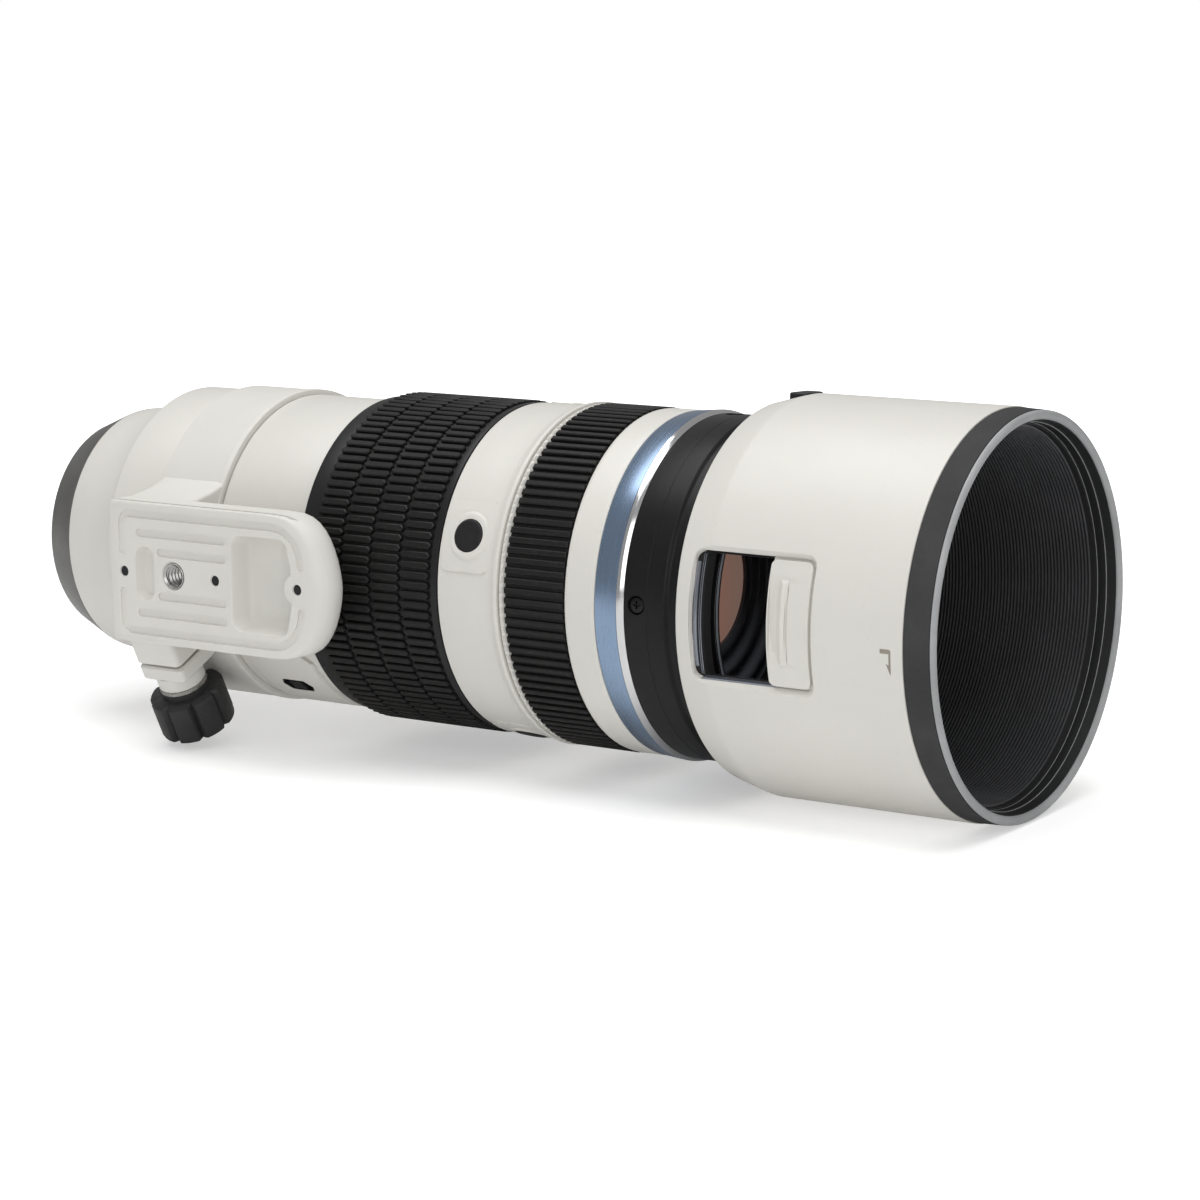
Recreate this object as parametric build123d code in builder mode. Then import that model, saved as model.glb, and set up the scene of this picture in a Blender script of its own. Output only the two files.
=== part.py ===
from build123d import *

import os
from math import cos, pi, radians, sin

# A fast telephoto zoom lens with its tripod collar and hood, lying on its left side.
# X runs along the optical axis towards the front and starts at the mount face.
# The tripod foot points to -Y, +Z is up, and every size is in millimetres.
# Angles round the barrel start at the foot and grow towards +Z.

# Lengths of the barrel's sections, from the mount face to the hood's lip
cover_length = 10.8
rear_band_length = 6.4
waist_length = 13.8
rear_step_length = 1.1
shoulder_length = 16.4
collar_width = 22.0
switch_length = 29.4
zoom_length = 46.2
function_length = 20.2
focus_length = 20.3
white_length = 9.0
blue_length = 7.0
silver_length = 1.8
black_length = 21.4
hood_overlap = 3.7
hood_cone_length = 9.4
hood_body_length = 55.3
rim_length = 6.9
lip_length = 1.3

# Radii: one barrel radius, and how far each section stands above or below it
barrel_r = 42.0
mount_drop = 11.9
cover_drop = 7.4
rear_band_drop = 6.6
waist_drop = 5.2
rear_step_root_drop = 2.6
rear_step_drop = 1.1
seat_depth = 1.4
collar_rise = 1.3
zoom_rise = 1.3
zoom_lip_rise = 2.2
function_rise = 2.2
focus_edge_rise = 3.7
white_rise = 3.2
blue_rise = 3.8
black_rise = 2.9
black_step = 0.9
hood_seat_step = 0.8
filter_inset = 3.5
filter_wall = 1.7
hood_rise = 9.62
hood_rear_drop = 2.6
hood_wall = 1.47
rim_drop = 0.4
lip_drop = 1.5

# Walls and clearances
shell_wall = 2.0
thin_wall = 1.4
tube_wall = 2.0
web = 2.0
running = 0.08
seat_gap = 0.04
side_gap = 0.3
chamfer_size = 0.3
overrun = 5.0

# Bayonet mount
throat_r = 18.4
bayonet_wall = 1.5
bayonet_reach = 5.2
tab_height = 1.8
tab_length = 1.8
tab_span = 50
tab_count = 3
flange_thickness = 2.5
flange_inset = 2.5
mount_screw_ring_r = 24.2
mount_screw_r = 0.9
mount_screw_head_r = 1.75
mount_screw_length = 5.0
mount_screw_count = 4
contact_depth = 3.6
contact_inset = 0.6
contact_span = 100
contact_count = 11
contact_pitch = 8
contact_pin_r = 0.5
seal_wall = 1.0
seal_reach = 0.7

# Main tube and the pieces inside it
flange_ring_drop = 0.9
flange_ring_length = 11.5
tube_cone_length = 19.5
tube_end_inset = 4.4
board_thickness = 1.2
board_inner_r = 22.0
board_x = 36.0
rod_r = 1.2
rod_ring_drop = 7.1
rod_count = 2
rod_plate_thickness = 3.0
rear_cell_x = 18.0
rear_glass_r = 16.4
rear_glass_x = 28.0
cell_wall = 1.6
cell_web = 3.6
glass_r = 22.0
glass_edge = 3.0
glass_bulge = 2.0
cell_gap = 0.4
follower_r = 1.45
focus_cell_x = 61.0
motor_length = 26.0
motor_span = 40
iris_x = 84.0
iris_length = 5.0
iris_wall = 1.6
iris_aperture_r = 20.0
blade_count = 9
blade_thickness = 0.6
blade_inner_r = 16.0
blade_gap_angle = 1.0
drive_thickness = 1.6
stabiliser_x = 91.0
stabiliser_plate = 2.0
carrier_thickness = 1.5
stabiliser_travel = 1.0
stabiliser_cell_length = 3.4
stabiliser_glass_r = 16.0

# Zoom mechanism: the cam tube turns, and its slots move two lens cells
zoom_turn = 80
cam_wall = 2.0
cam_start = 2.0
cam_end_inset = 3.0
cam_slot_play = 0.3
cam_slot_steps = 8
variator_x = 168.0
variator_travel = -30.0
variator_pin_angle = 0
compensator_x = 115.5
compensator_travel = 12.0
compensator_pin_angle = 180
key_angle = 150
key_span = 12
key_width = 2.2
key_offset = 5.1
key_play_angle = 2

# Zoom grip: rubber bricks in columns, each column turned by half a brick
zoom_rear_band = 5.1
zoom_front_band = 2.1
zoom_grip_depth = 1.0
brick_columns = 4
brick_count = 100
brick_height = 1.1
brick_proud = 1.4
brick_crest_share = 0.58
brick_groove = 0.8

# Focus grip: straight rubber ribs behind a fine knurled edge
focus_edge_width = 1.6
focus_rib_count = 104
focus_rib_height = 1.0
focus_rib_crest_share = 0.5
knurl_count = 104
knurl_depth = 0.5
knurl_crest_share = 0.5

# Function buttons on the section between the two rings
function_button_r = 4.3
function_button_gap = 0.12
function_button_rise = 0.3
function_button_depth = 3.4
function_ring_width = 1.6
function_ring_rise = 0.35
function_angle = 20
function_count = 4
function_x_share = 0.44
function_flare = 3.2

# Switch panel and its three slide switches
panel_rise = 1.0
panel_margin = 2.2
panel_angle = -80
panel_span = 94
switch_pitch = 27.5
switch_window_length = 10.4
switch_window_width = 6.2
switch_corner = 1.6
switch_pocket_depth = 2.0
slider_length = 4.6
slider_width = 4.4
slider_proud = 0.1

# Screws on the front barrel
barrel_screw_offset = 3.6
barrel_screw_angle = 3
barrel_screw_count = 4
barrel_screw_head_r = 2.1
barrel_screw_head_depth = 1.1
barrel_screw_recess = 0.3
barrel_screw_shank_r = 1.0
barrel_screw_length = 3.0
cross_width = 0.5
cross_length = 2.2

# Front group
black_band_length = 11.6
front_wall = 2.0
filter_thread_length = 6.0
filter_thread_pitch = 0.75
front_cell_play = 1.3
front_cell_wall = 1.5
front_glass_edge = 5.0
front_glass_rear_offset = 7.9
front_glass_front_bulge = 4.0
front_glass_rear_bulge = 2.5
retainer_land = 1.4
retainer_lip = 2.0

# Tripod collar, foot and clamp
foot_thickness = 10.0
finger_gap = 8.0
foot_width = 38.2
foot_back = 1.1
foot_length = 72.8
foot_nose_round = 5.4
foot_nose_top_round = 4.2
foot_corner = 12.0
foot_nose_bulge = 7.0
foot_heel_round = 2.0
dovetail_depth = 1.4
dovetail_groove = 3.0
dovetail_rise = 1.6
neck_root_width = 44.0
neck_tip_width = 38.2
neck_root_drop = 10.0
thread_x = 21.2
thread_r = 2.6
insert_wall = 0.9
insert_length = 7.0
pilot_r = 1.0
pilot_depth = 4.0
pilot_offsets = (4.1, 35.6, 63.2)
oval_x = 11.5
oval_width = 6.2
oval_length = 14.4
oval_depth = 3.0
pocket_x = 41.3
pocket_length = 17.0
pocket_width = 25.4
pocket_depth = 7.0
pocket_corner = 3.0
rail_depth = 0.5
rail_width = 2.3
rail_inner_z = 5.9
rail_outer_z = 10.8
rail_end_x = 39.2
rail_inner_length = 23.2
rail_outer_length = 30.6
clamp_tilt = 26
clamp_offset = 8.3
clamp_x = 8.5
ear_length = 15.0
ear_outer = 6.6
ear_inner = 9.0
upper_ear_start = -8.0
split_start = 2.0
split_gap = 0.8
split_reach = 14.0
lower_ear = 4.4
boss_r = 6.6
boss_height = 4.0
clamp_screw_r = 2.5
clamp_screw_length = 27.0
clamp_nut_gap = 2.0
washer_thickness = 1.0
washer_r = 6.8
knob_length = 13.4
knob_r = 10.5
knob_lobes = 8
knob_flute_r = 2.6
knob_flute_depth = 1.3
knob_neck_r = 6.6
knob_neck_length = 2.4
knob_bore_depth = 9.5
knob_chamfer = 1.0

# Hood with its sliding window door and its release button
hood_step_length = 4.3
lining_wall = 1.35
lining_rib_pitch = 1.1
lining_rib_depth = 0.4
lining_margin = 2.4
rim_tongue = 3.3
lip_wall = 1.0
lip_throat_drop = 5.22
lip_depth = 6.0
lip_step = 2.5
window_inset = 7.3
window_length = 31.7
window_angle = 3.3
window_span = 36
window_bevel = 1.2
door_plate = 0.9
door_plate_length = 32.8
door_overlap_angle = 1.6
door_block_length = 11.7
door_block_rise = 1.1
door_play_angle = 0.4
door_grip_rise = 0.35
door_grip_width = 3.0
door_grip_offset = 2.4
door_grip_span = 26
release_offset = 7.0
release_angle = 93
release_length = 5.2
release_width = 9.0
release_depth = 2.1
release_rise = 0.9
release_corner = 1.2

# Stations
rear_band_x = cover_length
waist_x = rear_band_x + rear_band_length
rear_step_x = waist_x + waist_length
shoulder_x = rear_step_x + rear_step_length
collar_x = shoulder_x + shoulder_length
switch_x = collar_x + collar_width
zoom_x = switch_x + switch_length
function_x = zoom_x + zoom_length
focus_x = function_x + function_length
white_x = focus_x + focus_length
blue_x = white_x + white_length
silver_x = blue_x + blue_length
black_x = silver_x + silver_length
front_x = black_x + black_length
hood_x = front_x - hood_overlap
hood_body_x = hood_x + hood_cone_length
rim_x = hood_body_x + hood_body_length
lip_x = rim_x + rim_length
end_x = lip_x + lip_length
tube_end_x = blue_x + tube_end_inset

# Radii that follow
mount_r = barrel_r - mount_drop
cover_r = barrel_r - cover_drop
rear_band_r = barrel_r - rear_band_drop
waist_r = barrel_r - waist_drop
rear_step_root_r = barrel_r - rear_step_root_drop
rear_step_r = barrel_r - rear_step_drop
seat_r = barrel_r - seat_depth
collar_r = barrel_r + collar_rise
zoom_r = barrel_r + zoom_rise
zoom_lip_r = barrel_r + zoom_lip_rise
function_r = barrel_r + function_rise
focus_edge_r = barrel_r + focus_edge_rise
white_r = barrel_r + white_rise
blue_r = barrel_r + blue_rise
black_r = barrel_r + black_rise
black_step_r = black_r - black_step
hood_seat_r = black_step_r - hood_seat_step
filter_r = barrel_r - filter_inset
filter_rim_r = filter_r + filter_wall
hood_r = barrel_r + hood_rise
hood_rear_r = hood_r - hood_rear_drop
hood_inner_r = hood_r - hood_wall
rim_r = hood_r - rim_drop
lip_r = hood_r - lip_drop
tube_r = seat_r - shell_wall
bore_r = tube_r - tube_wall
on_tube_r = tube_r + seat_gap
in_tube_r = bore_r - seat_gap
turning_r = tube_r + running
cam_r = bore_r - running
cam_inner_r = cam_r - cam_wall
cell_r = cam_inner_r - cell_gap
rod_ring_r = tube_r - rod_ring_drop
flange_r = mount_r - flange_inset
seal_r = flange_r + seat_gap + seal_wall
flange_ring_r = mount_r - flange_ring_drop


def outward(angle):
    """Direction away from the optical axis."""
    return (0, -cos(radians(angle)), sin(radians(angle)))


def section_plane(angle):
    """Plane through the optical axis, with its Y pointing outwards."""
    return Plane((0, 0, 0), (1, 0, 0), (0, -sin(radians(angle)), -cos(radians(angle))))


def tangent_plane(angle, station, radius=0):
    """Plane across a radius, with its X along the optical axis and its Z outwards."""
    away = outward(angle)
    return Plane((station, away[1] * radius, away[2] * radius), (1, 0, 0), away)


def toothed(count, root, crest, crest_share, turn=0):
    """Corners of a ring of square teeth, as (Y, Z) points."""
    pitch = 2 * pi / count
    half = pitch * crest_share / 2
    corners = []
    for tooth in range(count):
        middle = tooth * pitch + turn * pitch
        for angle, radius in ((-half, root), (-half, crest), (half, crest), (half, root)):
            corners.append((radius * cos(middle + angle), radius * sin(middle + angle)))
    return corners


def face_middle(station, radius, bulge):
    """Point half-way up the arc of a lens face, whose rim is at the station and centre on the axis."""
    ball_r = (radius ** 2 + bulge ** 2) / (2 * abs(bulge))
    drop = ball_r - (ball_r ** 2 - radius ** 2 / 4) ** 0.5
    return (station + bulge * (1 - drop / abs(bulge)), radius / 2)


def finish(piece, name):
    """Name a finished piece and write it out."""
    piece.part.label = name
    export_step(piece.part, "parts/" + name + ".step")


os.makedirs("parts", exist_ok=True)

# Bayonet mount: a metal flange, its tube and three locking tabs
mount_face = Plane((0, 0, 0), (0, 1, 0), (-1, 0, 0))
bayonet_r = throat_r + bayonet_wall
with BuildPart() as bayonet_mount:
    with BuildSketch(Plane.XY):
        with BuildLine():
            Polyline(
                (-bayonet_reach, throat_r), (-bayonet_reach, bayonet_r), (0, bayonet_r),
                (0, flange_r), (flange_thickness, flange_r), (flange_thickness, throat_r),
                close=True,
            )
        make_face()
    revolve(axis=Axis.X)
    for tab in range(tab_count):
        with BuildSketch(section_plane(tab * 360 / tab_count)):
            with BuildLine():
                Polyline(
                    (-bayonet_reach, throat_r), (-bayonet_reach, bayonet_r + tab_height),
                    (tab_length - bayonet_reach, bayonet_r + tab_height),
                    (tab_length - bayonet_reach, throat_r), close=True,
                )
            make_face()
        revolve(axis=Axis.X, revolution_arc=tab_span)
    with Locations(mount_face):
        with PolarLocations(mount_screw_ring_r, mount_screw_count, start_angle=45):
            CounterSinkHole(mount_screw_r + seat_gap, mount_screw_head_r + seat_gap, flange_thickness)
finish(bayonet_mount, "bayonet_mount")

# Flange screws, flush with the mount face
with BuildPart() as mount_screws:
    with Locations(mount_face):
        with PolarLocations(mount_screw_ring_r, mount_screw_count, start_angle=45):
            Cylinder(mount_screw_r, mount_screw_length, align=(Align.CENTER, Align.CENTER, Align.MAX))
            Cone(
                mount_screw_r, mount_screw_head_r, mount_screw_head_r - mount_screw_r,
                align=(Align.CENTER, Align.CENTER, Align.MAX),
            )
finish(mount_screws, "mount_screws")

# Contact block: the arc of plastic in the throat that carries the signal pins
contact_r = throat_r - seat_gap
contact_x = contact_inset - bayonet_reach
with BuildPart() as contact_block:
    with BuildSketch(section_plane(contact_span / 2)):
        with BuildLine():
            Polyline(
                (contact_x, contact_r - contact_depth), (contact_x, contact_r),
                (0, contact_r), (0, contact_r - contact_depth), close=True,
            )
        make_face()
    revolve(axis=Axis.X, revolution_arc=contact_span)
finish(contact_block, "contact_block")

with BuildPart() as contact_pins:
    for pin in range(contact_count):
        place = outward((pin - (contact_count - 1) / 2) * contact_pitch)
        middle_r = contact_r - contact_depth / 2
        middle = (contact_x, place[1] * middle_r, place[2] * middle_r)
        with BuildSketch(Plane(middle, (0, 1, 0), (-1, 0, 0))):
            Circle(contact_pin_r)
        extrude(amount=contact_inset)
finish(contact_pins, "contact_pins")

# Rubber seal round the flange
with BuildPart() as mount_seal:
    with BuildSketch(Plane.XY):
        with BuildLine():
            Polyline(
                (-seal_reach, seal_r), (0, flange_r + seat_gap), (flange_thickness, flange_r + seat_gap),
                (flange_thickness, seal_r), close=True,
            )
        make_face()
    revolve(axis=Axis.X)
finish(mount_seal, "mount_seal")

# Dark ring that covers the back of the lens
with BuildPart() as mount_cover:
    with BuildSketch(Plane.XY):
        with BuildLine():
            Polyline(
                (0, seal_r + seat_gap), (0, mount_r), (cover_length, cover_r),
                (cover_length, flange_ring_r + seat_gap), (flange_thickness, flange_ring_r + seat_gap),
                (flange_thickness, seal_r + seat_gap), close=True,
            )
        make_face()
    revolve(axis=Axis.X)
finish(mount_cover, "mount_cover")

# Rear shell: a band, a hollow waist, a step up to the shoulder and the turned seat for the tripod collar
shell_inner_r = cover_r - shell_wall
waist_middle_x = (waist_x + rear_step_x) / 2
with BuildPart() as rear_shell:
    with BuildSketch(Plane.XY):
        with BuildLine():
            Line((rear_band_x, cover_r), (waist_x, rear_band_r))
            ThreePointArc((waist_x, rear_band_r), (waist_middle_x, waist_r), (rear_step_x, rear_step_root_r))
            Polyline(
                (rear_step_x, rear_step_root_r), (rear_step_x, rear_step_r), (shoulder_x, barrel_r),
                (collar_x - side_gap, barrel_r), (collar_x - side_gap, seat_r),
                (switch_x + side_gap, seat_r), (switch_x + side_gap, on_tube_r), (shoulder_x, on_tube_r),
                (waist_middle_x, waist_r - thin_wall), (waist_x, rear_band_r - shell_wall),
                (rear_band_x, shell_inner_r), (rear_band_x, cover_r),
            )
        make_face()
    revolve(axis=Axis.X)
finish(rear_shell, "rear_shell")

# Main tube: the backbone that carries every other piece
tube_cone_x = flange_thickness + flange_ring_length
tube_x = tube_cone_x + tube_cone_length
key_x = zoom_x + key_offset
with BuildPart() as main_tube:
    with BuildSketch(Plane.XY):
        with BuildLine():
            Polyline(
                (flange_thickness, throat_r), (flange_thickness, flange_ring_r),
                (tube_cone_x, flange_ring_r), (tube_x, tube_r), (tube_end_x, tube_r),
                (tube_end_x, bore_r), (tube_x, bore_r), (tube_cone_x, flange_ring_r - tube_wall),
                (flange_thickness + tube_wall, flange_ring_r - tube_wall),
                (flange_thickness + tube_wall, throat_r), close=True,
            )
        make_face()
    revolve(axis=Axis.X)
    with Locations(mount_face):
        with PolarLocations(mount_screw_ring_r, mount_screw_count, start_angle=45):
            Hole(mount_screw_r + seat_gap, flange_thickness + tube_wall)
    # slot that lets the zoom ring's key reach the cam tube
    with BuildSketch(section_plane(key_angle + key_span / 2 + key_play_angle)):
        with Locations((key_x, tube_r - tube_wall / 2)):
            Rectangle(key_width + 2 * side_gap, 2 * tube_wall)
    revolve(axis=Axis.X, revolution_arc=key_span + 2 * key_play_angle + zoom_turn, mode=Mode.SUBTRACT)
finish(main_tube, "main_tube")

# Switch shell with its raised panel and three hexagonal windows
switch_end_x = zoom_x - side_gap
switch_start_x = switch_x + side_gap
panel_r = barrel_r + panel_rise
pocket_r = panel_r - switch_pocket_depth
switch_middle_x = (switch_x + zoom_x) / 2
switch_angles = [panel_angle + switch_pitch * step for step in (1, 0, -1)]
with BuildPart() as switch_shell:
    with BuildSketch(Plane.XY):
        with BuildLine():
            Polyline(
                (switch_start_x, on_tube_r), (switch_start_x, barrel_r), (switch_end_x, barrel_r),
                (switch_end_x, on_tube_r), (switch_end_x - web, on_tube_r),
                (switch_end_x - web, barrel_r - shell_wall), (switch_start_x + web, barrel_r - shell_wall),
                (switch_start_x + web, on_tube_r), close=True,
            )
        make_face()
    revolve(axis=Axis.X)
    with BuildSketch(section_plane(panel_angle + panel_span / 2)):
        with BuildLine():
            Polyline(
                (switch_start_x + panel_margin, barrel_r - shell_wall / 2),
                (switch_start_x + panel_margin + panel_rise, panel_r),
                (switch_end_x - panel_margin - panel_rise, panel_r),
                (switch_end_x - panel_margin, barrel_r - shell_wall / 2), close=True,
            )
        make_face()
    revolve(axis=Axis.X, revolution_arc=panel_span)
    for angle in switch_angles:
        with BuildSketch(tangent_plane(angle, switch_middle_x, pocket_r)):
            with BuildLine():
                Polyline(
                    (-switch_window_length / 2, 0),
                    (switch_corner - switch_window_length / 2, switch_window_width / 2),
                    (switch_window_length / 2 - switch_corner, switch_window_width / 2),
                    (switch_window_length / 2, 0),
                    (switch_window_length / 2 - switch_corner, -switch_window_width / 2),
                    (switch_corner - switch_window_length / 2, -switch_window_width / 2),
                    close=True,
                )
            make_face()
        extrude(amount=overrun, mode=Mode.SUBTRACT)
finish(switch_shell, "switch_shell")

# Three slide switches, each a small block in its own window
slider_names = ("focus_mode_slider", "focus_limit_slider", "stabiliser_slider")
for name, angle in zip(slider_names, switch_angles):
    with BuildPart() as slider:
        with BuildSketch(tangent_plane(angle, switch_middle_x, pocket_r + side_gap)):
            RectangleRounded(slider_length, slider_width, chamfer_size)
        extrude(amount=panel_r + slider_proud - pocket_r - side_gap)
        fillet(slider.faces().sort_by(Axis((0, 0, 0), outward(angle)))[-1].edges(), chamfer_size)
    finish(slider, name)

# Zoom ring, with two turned lands on the main tube and the key that drives the cam tube
zoom_end_x = function_x
zoom_seat_r = zoom_r - zoom_grip_depth
zoom_inner_r = zoom_seat_r - tube_wall / 2
with BuildPart() as zoom_ring:
    with BuildSketch(Plane.XY):
        with BuildLine():
            Polyline(
                (zoom_x, turning_r), (zoom_x, zoom_r), (zoom_x + zoom_rear_band, zoom_r),
                (zoom_x + zoom_rear_band, zoom_seat_r), (zoom_end_x - zoom_front_band, zoom_seat_r),
                (zoom_end_x - zoom_front_band, zoom_lip_r), (zoom_end_x, zoom_lip_r),
                (zoom_end_x, turning_r), (zoom_end_x - web, turning_r),
                (zoom_end_x - web, zoom_inner_r), (zoom_x + web, zoom_inner_r),
                (zoom_x + web, turning_r), close=True,
            )
        make_face()
    revolve(axis=Axis.X)
    with BuildSketch(section_plane(key_angle + key_span / 2)):
        with BuildLine():
            Polyline(
                (key_x - key_width / 2, cam_r + seat_gap), (key_x - key_width / 2, zoom_seat_r),
                (key_x + key_width / 2, zoom_seat_r), (key_x + key_width / 2, cam_r + seat_gap),
                close=True,
            )
        make_face()
    revolve(axis=Axis.X, revolution_arc=key_span)
finish(zoom_ring, "zoom_ring")

# Rubber zoom grip: columns of bricks with grooves between them
grip_start_x = zoom_x + zoom_rear_band + seat_gap
grip_end_x = zoom_end_x - zoom_front_band - seat_gap
grip_inner_r = zoom_seat_r + seat_gap
brick_crest_r = zoom_r + brick_proud
brick_root_r = brick_crest_r - brick_height
column_pitch = (grip_end_x - grip_start_x + brick_groove) / brick_columns
with BuildPart() as zoom_grip:
    for column in range(brick_columns):
        with BuildSketch(Plane.YZ.offset(grip_start_x + column * column_pitch)):
            with BuildLine():
                bricks = toothed(brick_count, brick_root_r, brick_crest_r, brick_crest_share, column / 2)
                Polyline(*bricks, close=True)
            make_face()
            Circle(grip_inner_r, mode=Mode.SUBTRACT)
        extrude(amount=column_pitch - brick_groove)
    for column in range(1, brick_columns):
        with BuildSketch(Plane.YZ.offset(grip_start_x + column * column_pitch - brick_groove)):
            Circle(brick_root_r)
            Circle(grip_inner_r, mode=Mode.SUBTRACT)
        extrude(amount=brick_groove)
finish(zoom_grip, "zoom_grip")


def cam_path(station, travel, pin_angle, share):
    """Place of a cell's follower pin in the unturned cam tube, at a share of the zoom."""
    return station + travel * share, pin_angle + zoom_turn * share


# Cam tube: a slot for each moving cell, cut along the follower's path
cam_x = zoom_x + cam_start
cam_end_x = tube_end_x - tube_end_inset - white_length - cam_end_inset
with BuildPart() as cam_tube:
    with BuildSketch(Plane.XY):
        with BuildLine():
            Polyline(
                (cam_x, cam_inner_r), (cam_x, cam_r), (cam_end_x, cam_r), (cam_end_x, cam_inner_r),
                close=True,
            )
        make_face()
    revolve(axis=Axis.X)
    for station, travel, pin_angle in (
        (variator_x, variator_travel, variator_pin_angle),
        (compensator_x, compensator_travel, compensator_pin_angle),
    ):
        for step in range(cam_slot_steps + 1):
            x, angle = cam_path(station, travel, pin_angle, step / cam_slot_steps)
            around = Vector(0, sin(radians(angle)), cos(radians(angle))) * (radians(zoom_turn) * cam_r)
            along = Vector(travel, 0, 0) + around
            away = outward(angle)
            middle_r = cam_r - cam_wall / 2
            with BuildSketch(Plane((x, away[1] * middle_r, away[2] * middle_r), away, along)):
                Rectangle(2 * cam_wall, 2 * (follower_r + cam_slot_play))
        loft(ruled=True, mode=Mode.SUBTRACT)
        for share in (0, 1):
            x, angle = cam_path(station, travel, pin_angle, share)
            with BuildSketch(tangent_plane(angle, x, cam_inner_r - cam_wall)):
                Circle(follower_r + cam_slot_play)
            extrude(amount=3 * cam_wall, mode=Mode.SUBTRACT)
finish(cam_tube, "cam_tube")

# Function section: a flared shell with four raised button rings
function_start_x = function_x + side_gap
function_end_x = focus_x - side_gap
function_inner_r = function_r - shell_wall
function_button_x = function_x + function_length * function_x_share
function_hole_r = function_button_r + function_button_gap
button_angles = [function_angle + 360 / function_count * step for step in range(function_count)]
with BuildPart() as function_shell:
    with BuildSketch(Plane.XY):
        with BuildLine():
            Polyline(
                (function_start_x, on_tube_r), (function_start_x, function_r),
                (function_end_x - function_flare, function_r),
                (function_end_x, focus_edge_r - chamfer_size), (function_end_x, on_tube_r),
                (function_end_x - web, on_tube_r), (function_end_x - web, function_inner_r),
                (function_start_x + web, function_inner_r), (function_start_x + web, on_tube_r),
                close=True,
            )
        make_face()
    revolve(axis=Axis.X)
    for angle in button_angles:
        with BuildSketch(tangent_plane(angle, function_button_x, function_r - shell_wall / 2)):
            Circle(function_hole_r + function_ring_width)
        extrude(amount=shell_wall / 2 + function_ring_rise)
        with BuildSketch(tangent_plane(angle, function_button_x, function_inner_r - shell_wall)):
            Circle(function_hole_r)
        extrude(amount=shell_wall + overrun, mode=Mode.SUBTRACT)
finish(function_shell, "function_shell")

button_top_r = function_r + function_ring_rise + function_button_rise
for number, angle in enumerate(button_angles, start=1):
    with BuildPart() as button:
        with BuildSketch(tangent_plane(angle, function_button_x, button_top_r - function_button_depth)):
            Circle(function_button_r)
        extrude(amount=function_button_depth)
        fillet(button.faces().sort_by(Axis((0, 0, 0), outward(angle)))[-1].edges(), chamfer_size)
    finish(button, "function_button_%d" % number)

# Focus ring with its knurled white edge
focus_end_x = white_x - side_gap
focus_seat_r = focus_edge_r - focus_rib_height * 2
focus_inner_r = focus_seat_r - tube_wall / 2
with BuildPart() as focus_ring:
    with BuildSketch(Plane.YZ.offset(focus_x)):
        with BuildLine():
            knurl_root_r = focus_edge_r - knurl_depth
            Polyline(*toothed(knurl_count, knurl_root_r, focus_edge_r, knurl_crest_share), close=True)
        make_face()
        Circle(focus_inner_r, mode=Mode.SUBTRACT)
    extrude(amount=focus_edge_width)
    with BuildSketch(Plane.XY):
        with BuildLine():
            Polyline(
                (focus_x, turning_r), (focus_x, focus_inner_r + tube_wall / 2),
                (focus_end_x, focus_seat_r), (focus_end_x, turning_r), (focus_end_x - web, turning_r),
                (focus_end_x - web, focus_inner_r), (focus_x + web, focus_inner_r),
                (focus_x + web, turning_r), close=True,
            )
        make_face()
    revolve(axis=Axis.X)
finish(focus_ring, "focus_ring")

# Rubber focus grip with straight ribs
focus_rib_root_r = focus_seat_r + focus_rib_height - chamfer_size
focus_rib_crest_r = focus_rib_root_r + focus_rib_height
with BuildPart() as focus_grip:
    with BuildSketch(Plane.YZ.offset(focus_x + focus_edge_width + seat_gap)):
        with BuildLine():
            ribs = toothed(focus_rib_count, focus_rib_root_r, focus_rib_crest_r, focus_rib_crest_share)
            Polyline(*ribs, close=True)
        make_face()
        Circle(focus_seat_r + seat_gap, mode=Mode.SUBTRACT)
    extrude(amount=focus_end_x - focus_x - focus_edge_width - seat_gap)
finish(focus_grip, "focus_grip")

# White shell in front of the focus ring
with BuildPart() as front_shell:
    with BuildSketch(Plane.XY):
        with BuildLine():
            Polyline(
                (white_x, on_tube_r), (white_x, white_r), (blue_x, white_r), (blue_x, white_r - shell_wall),
                (white_x + web, white_r - shell_wall), (white_x + web, on_tube_r), close=True,
            )
        make_face()
    revolve(axis=Axis.X)
finish(front_shell, "front_shell")

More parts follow.
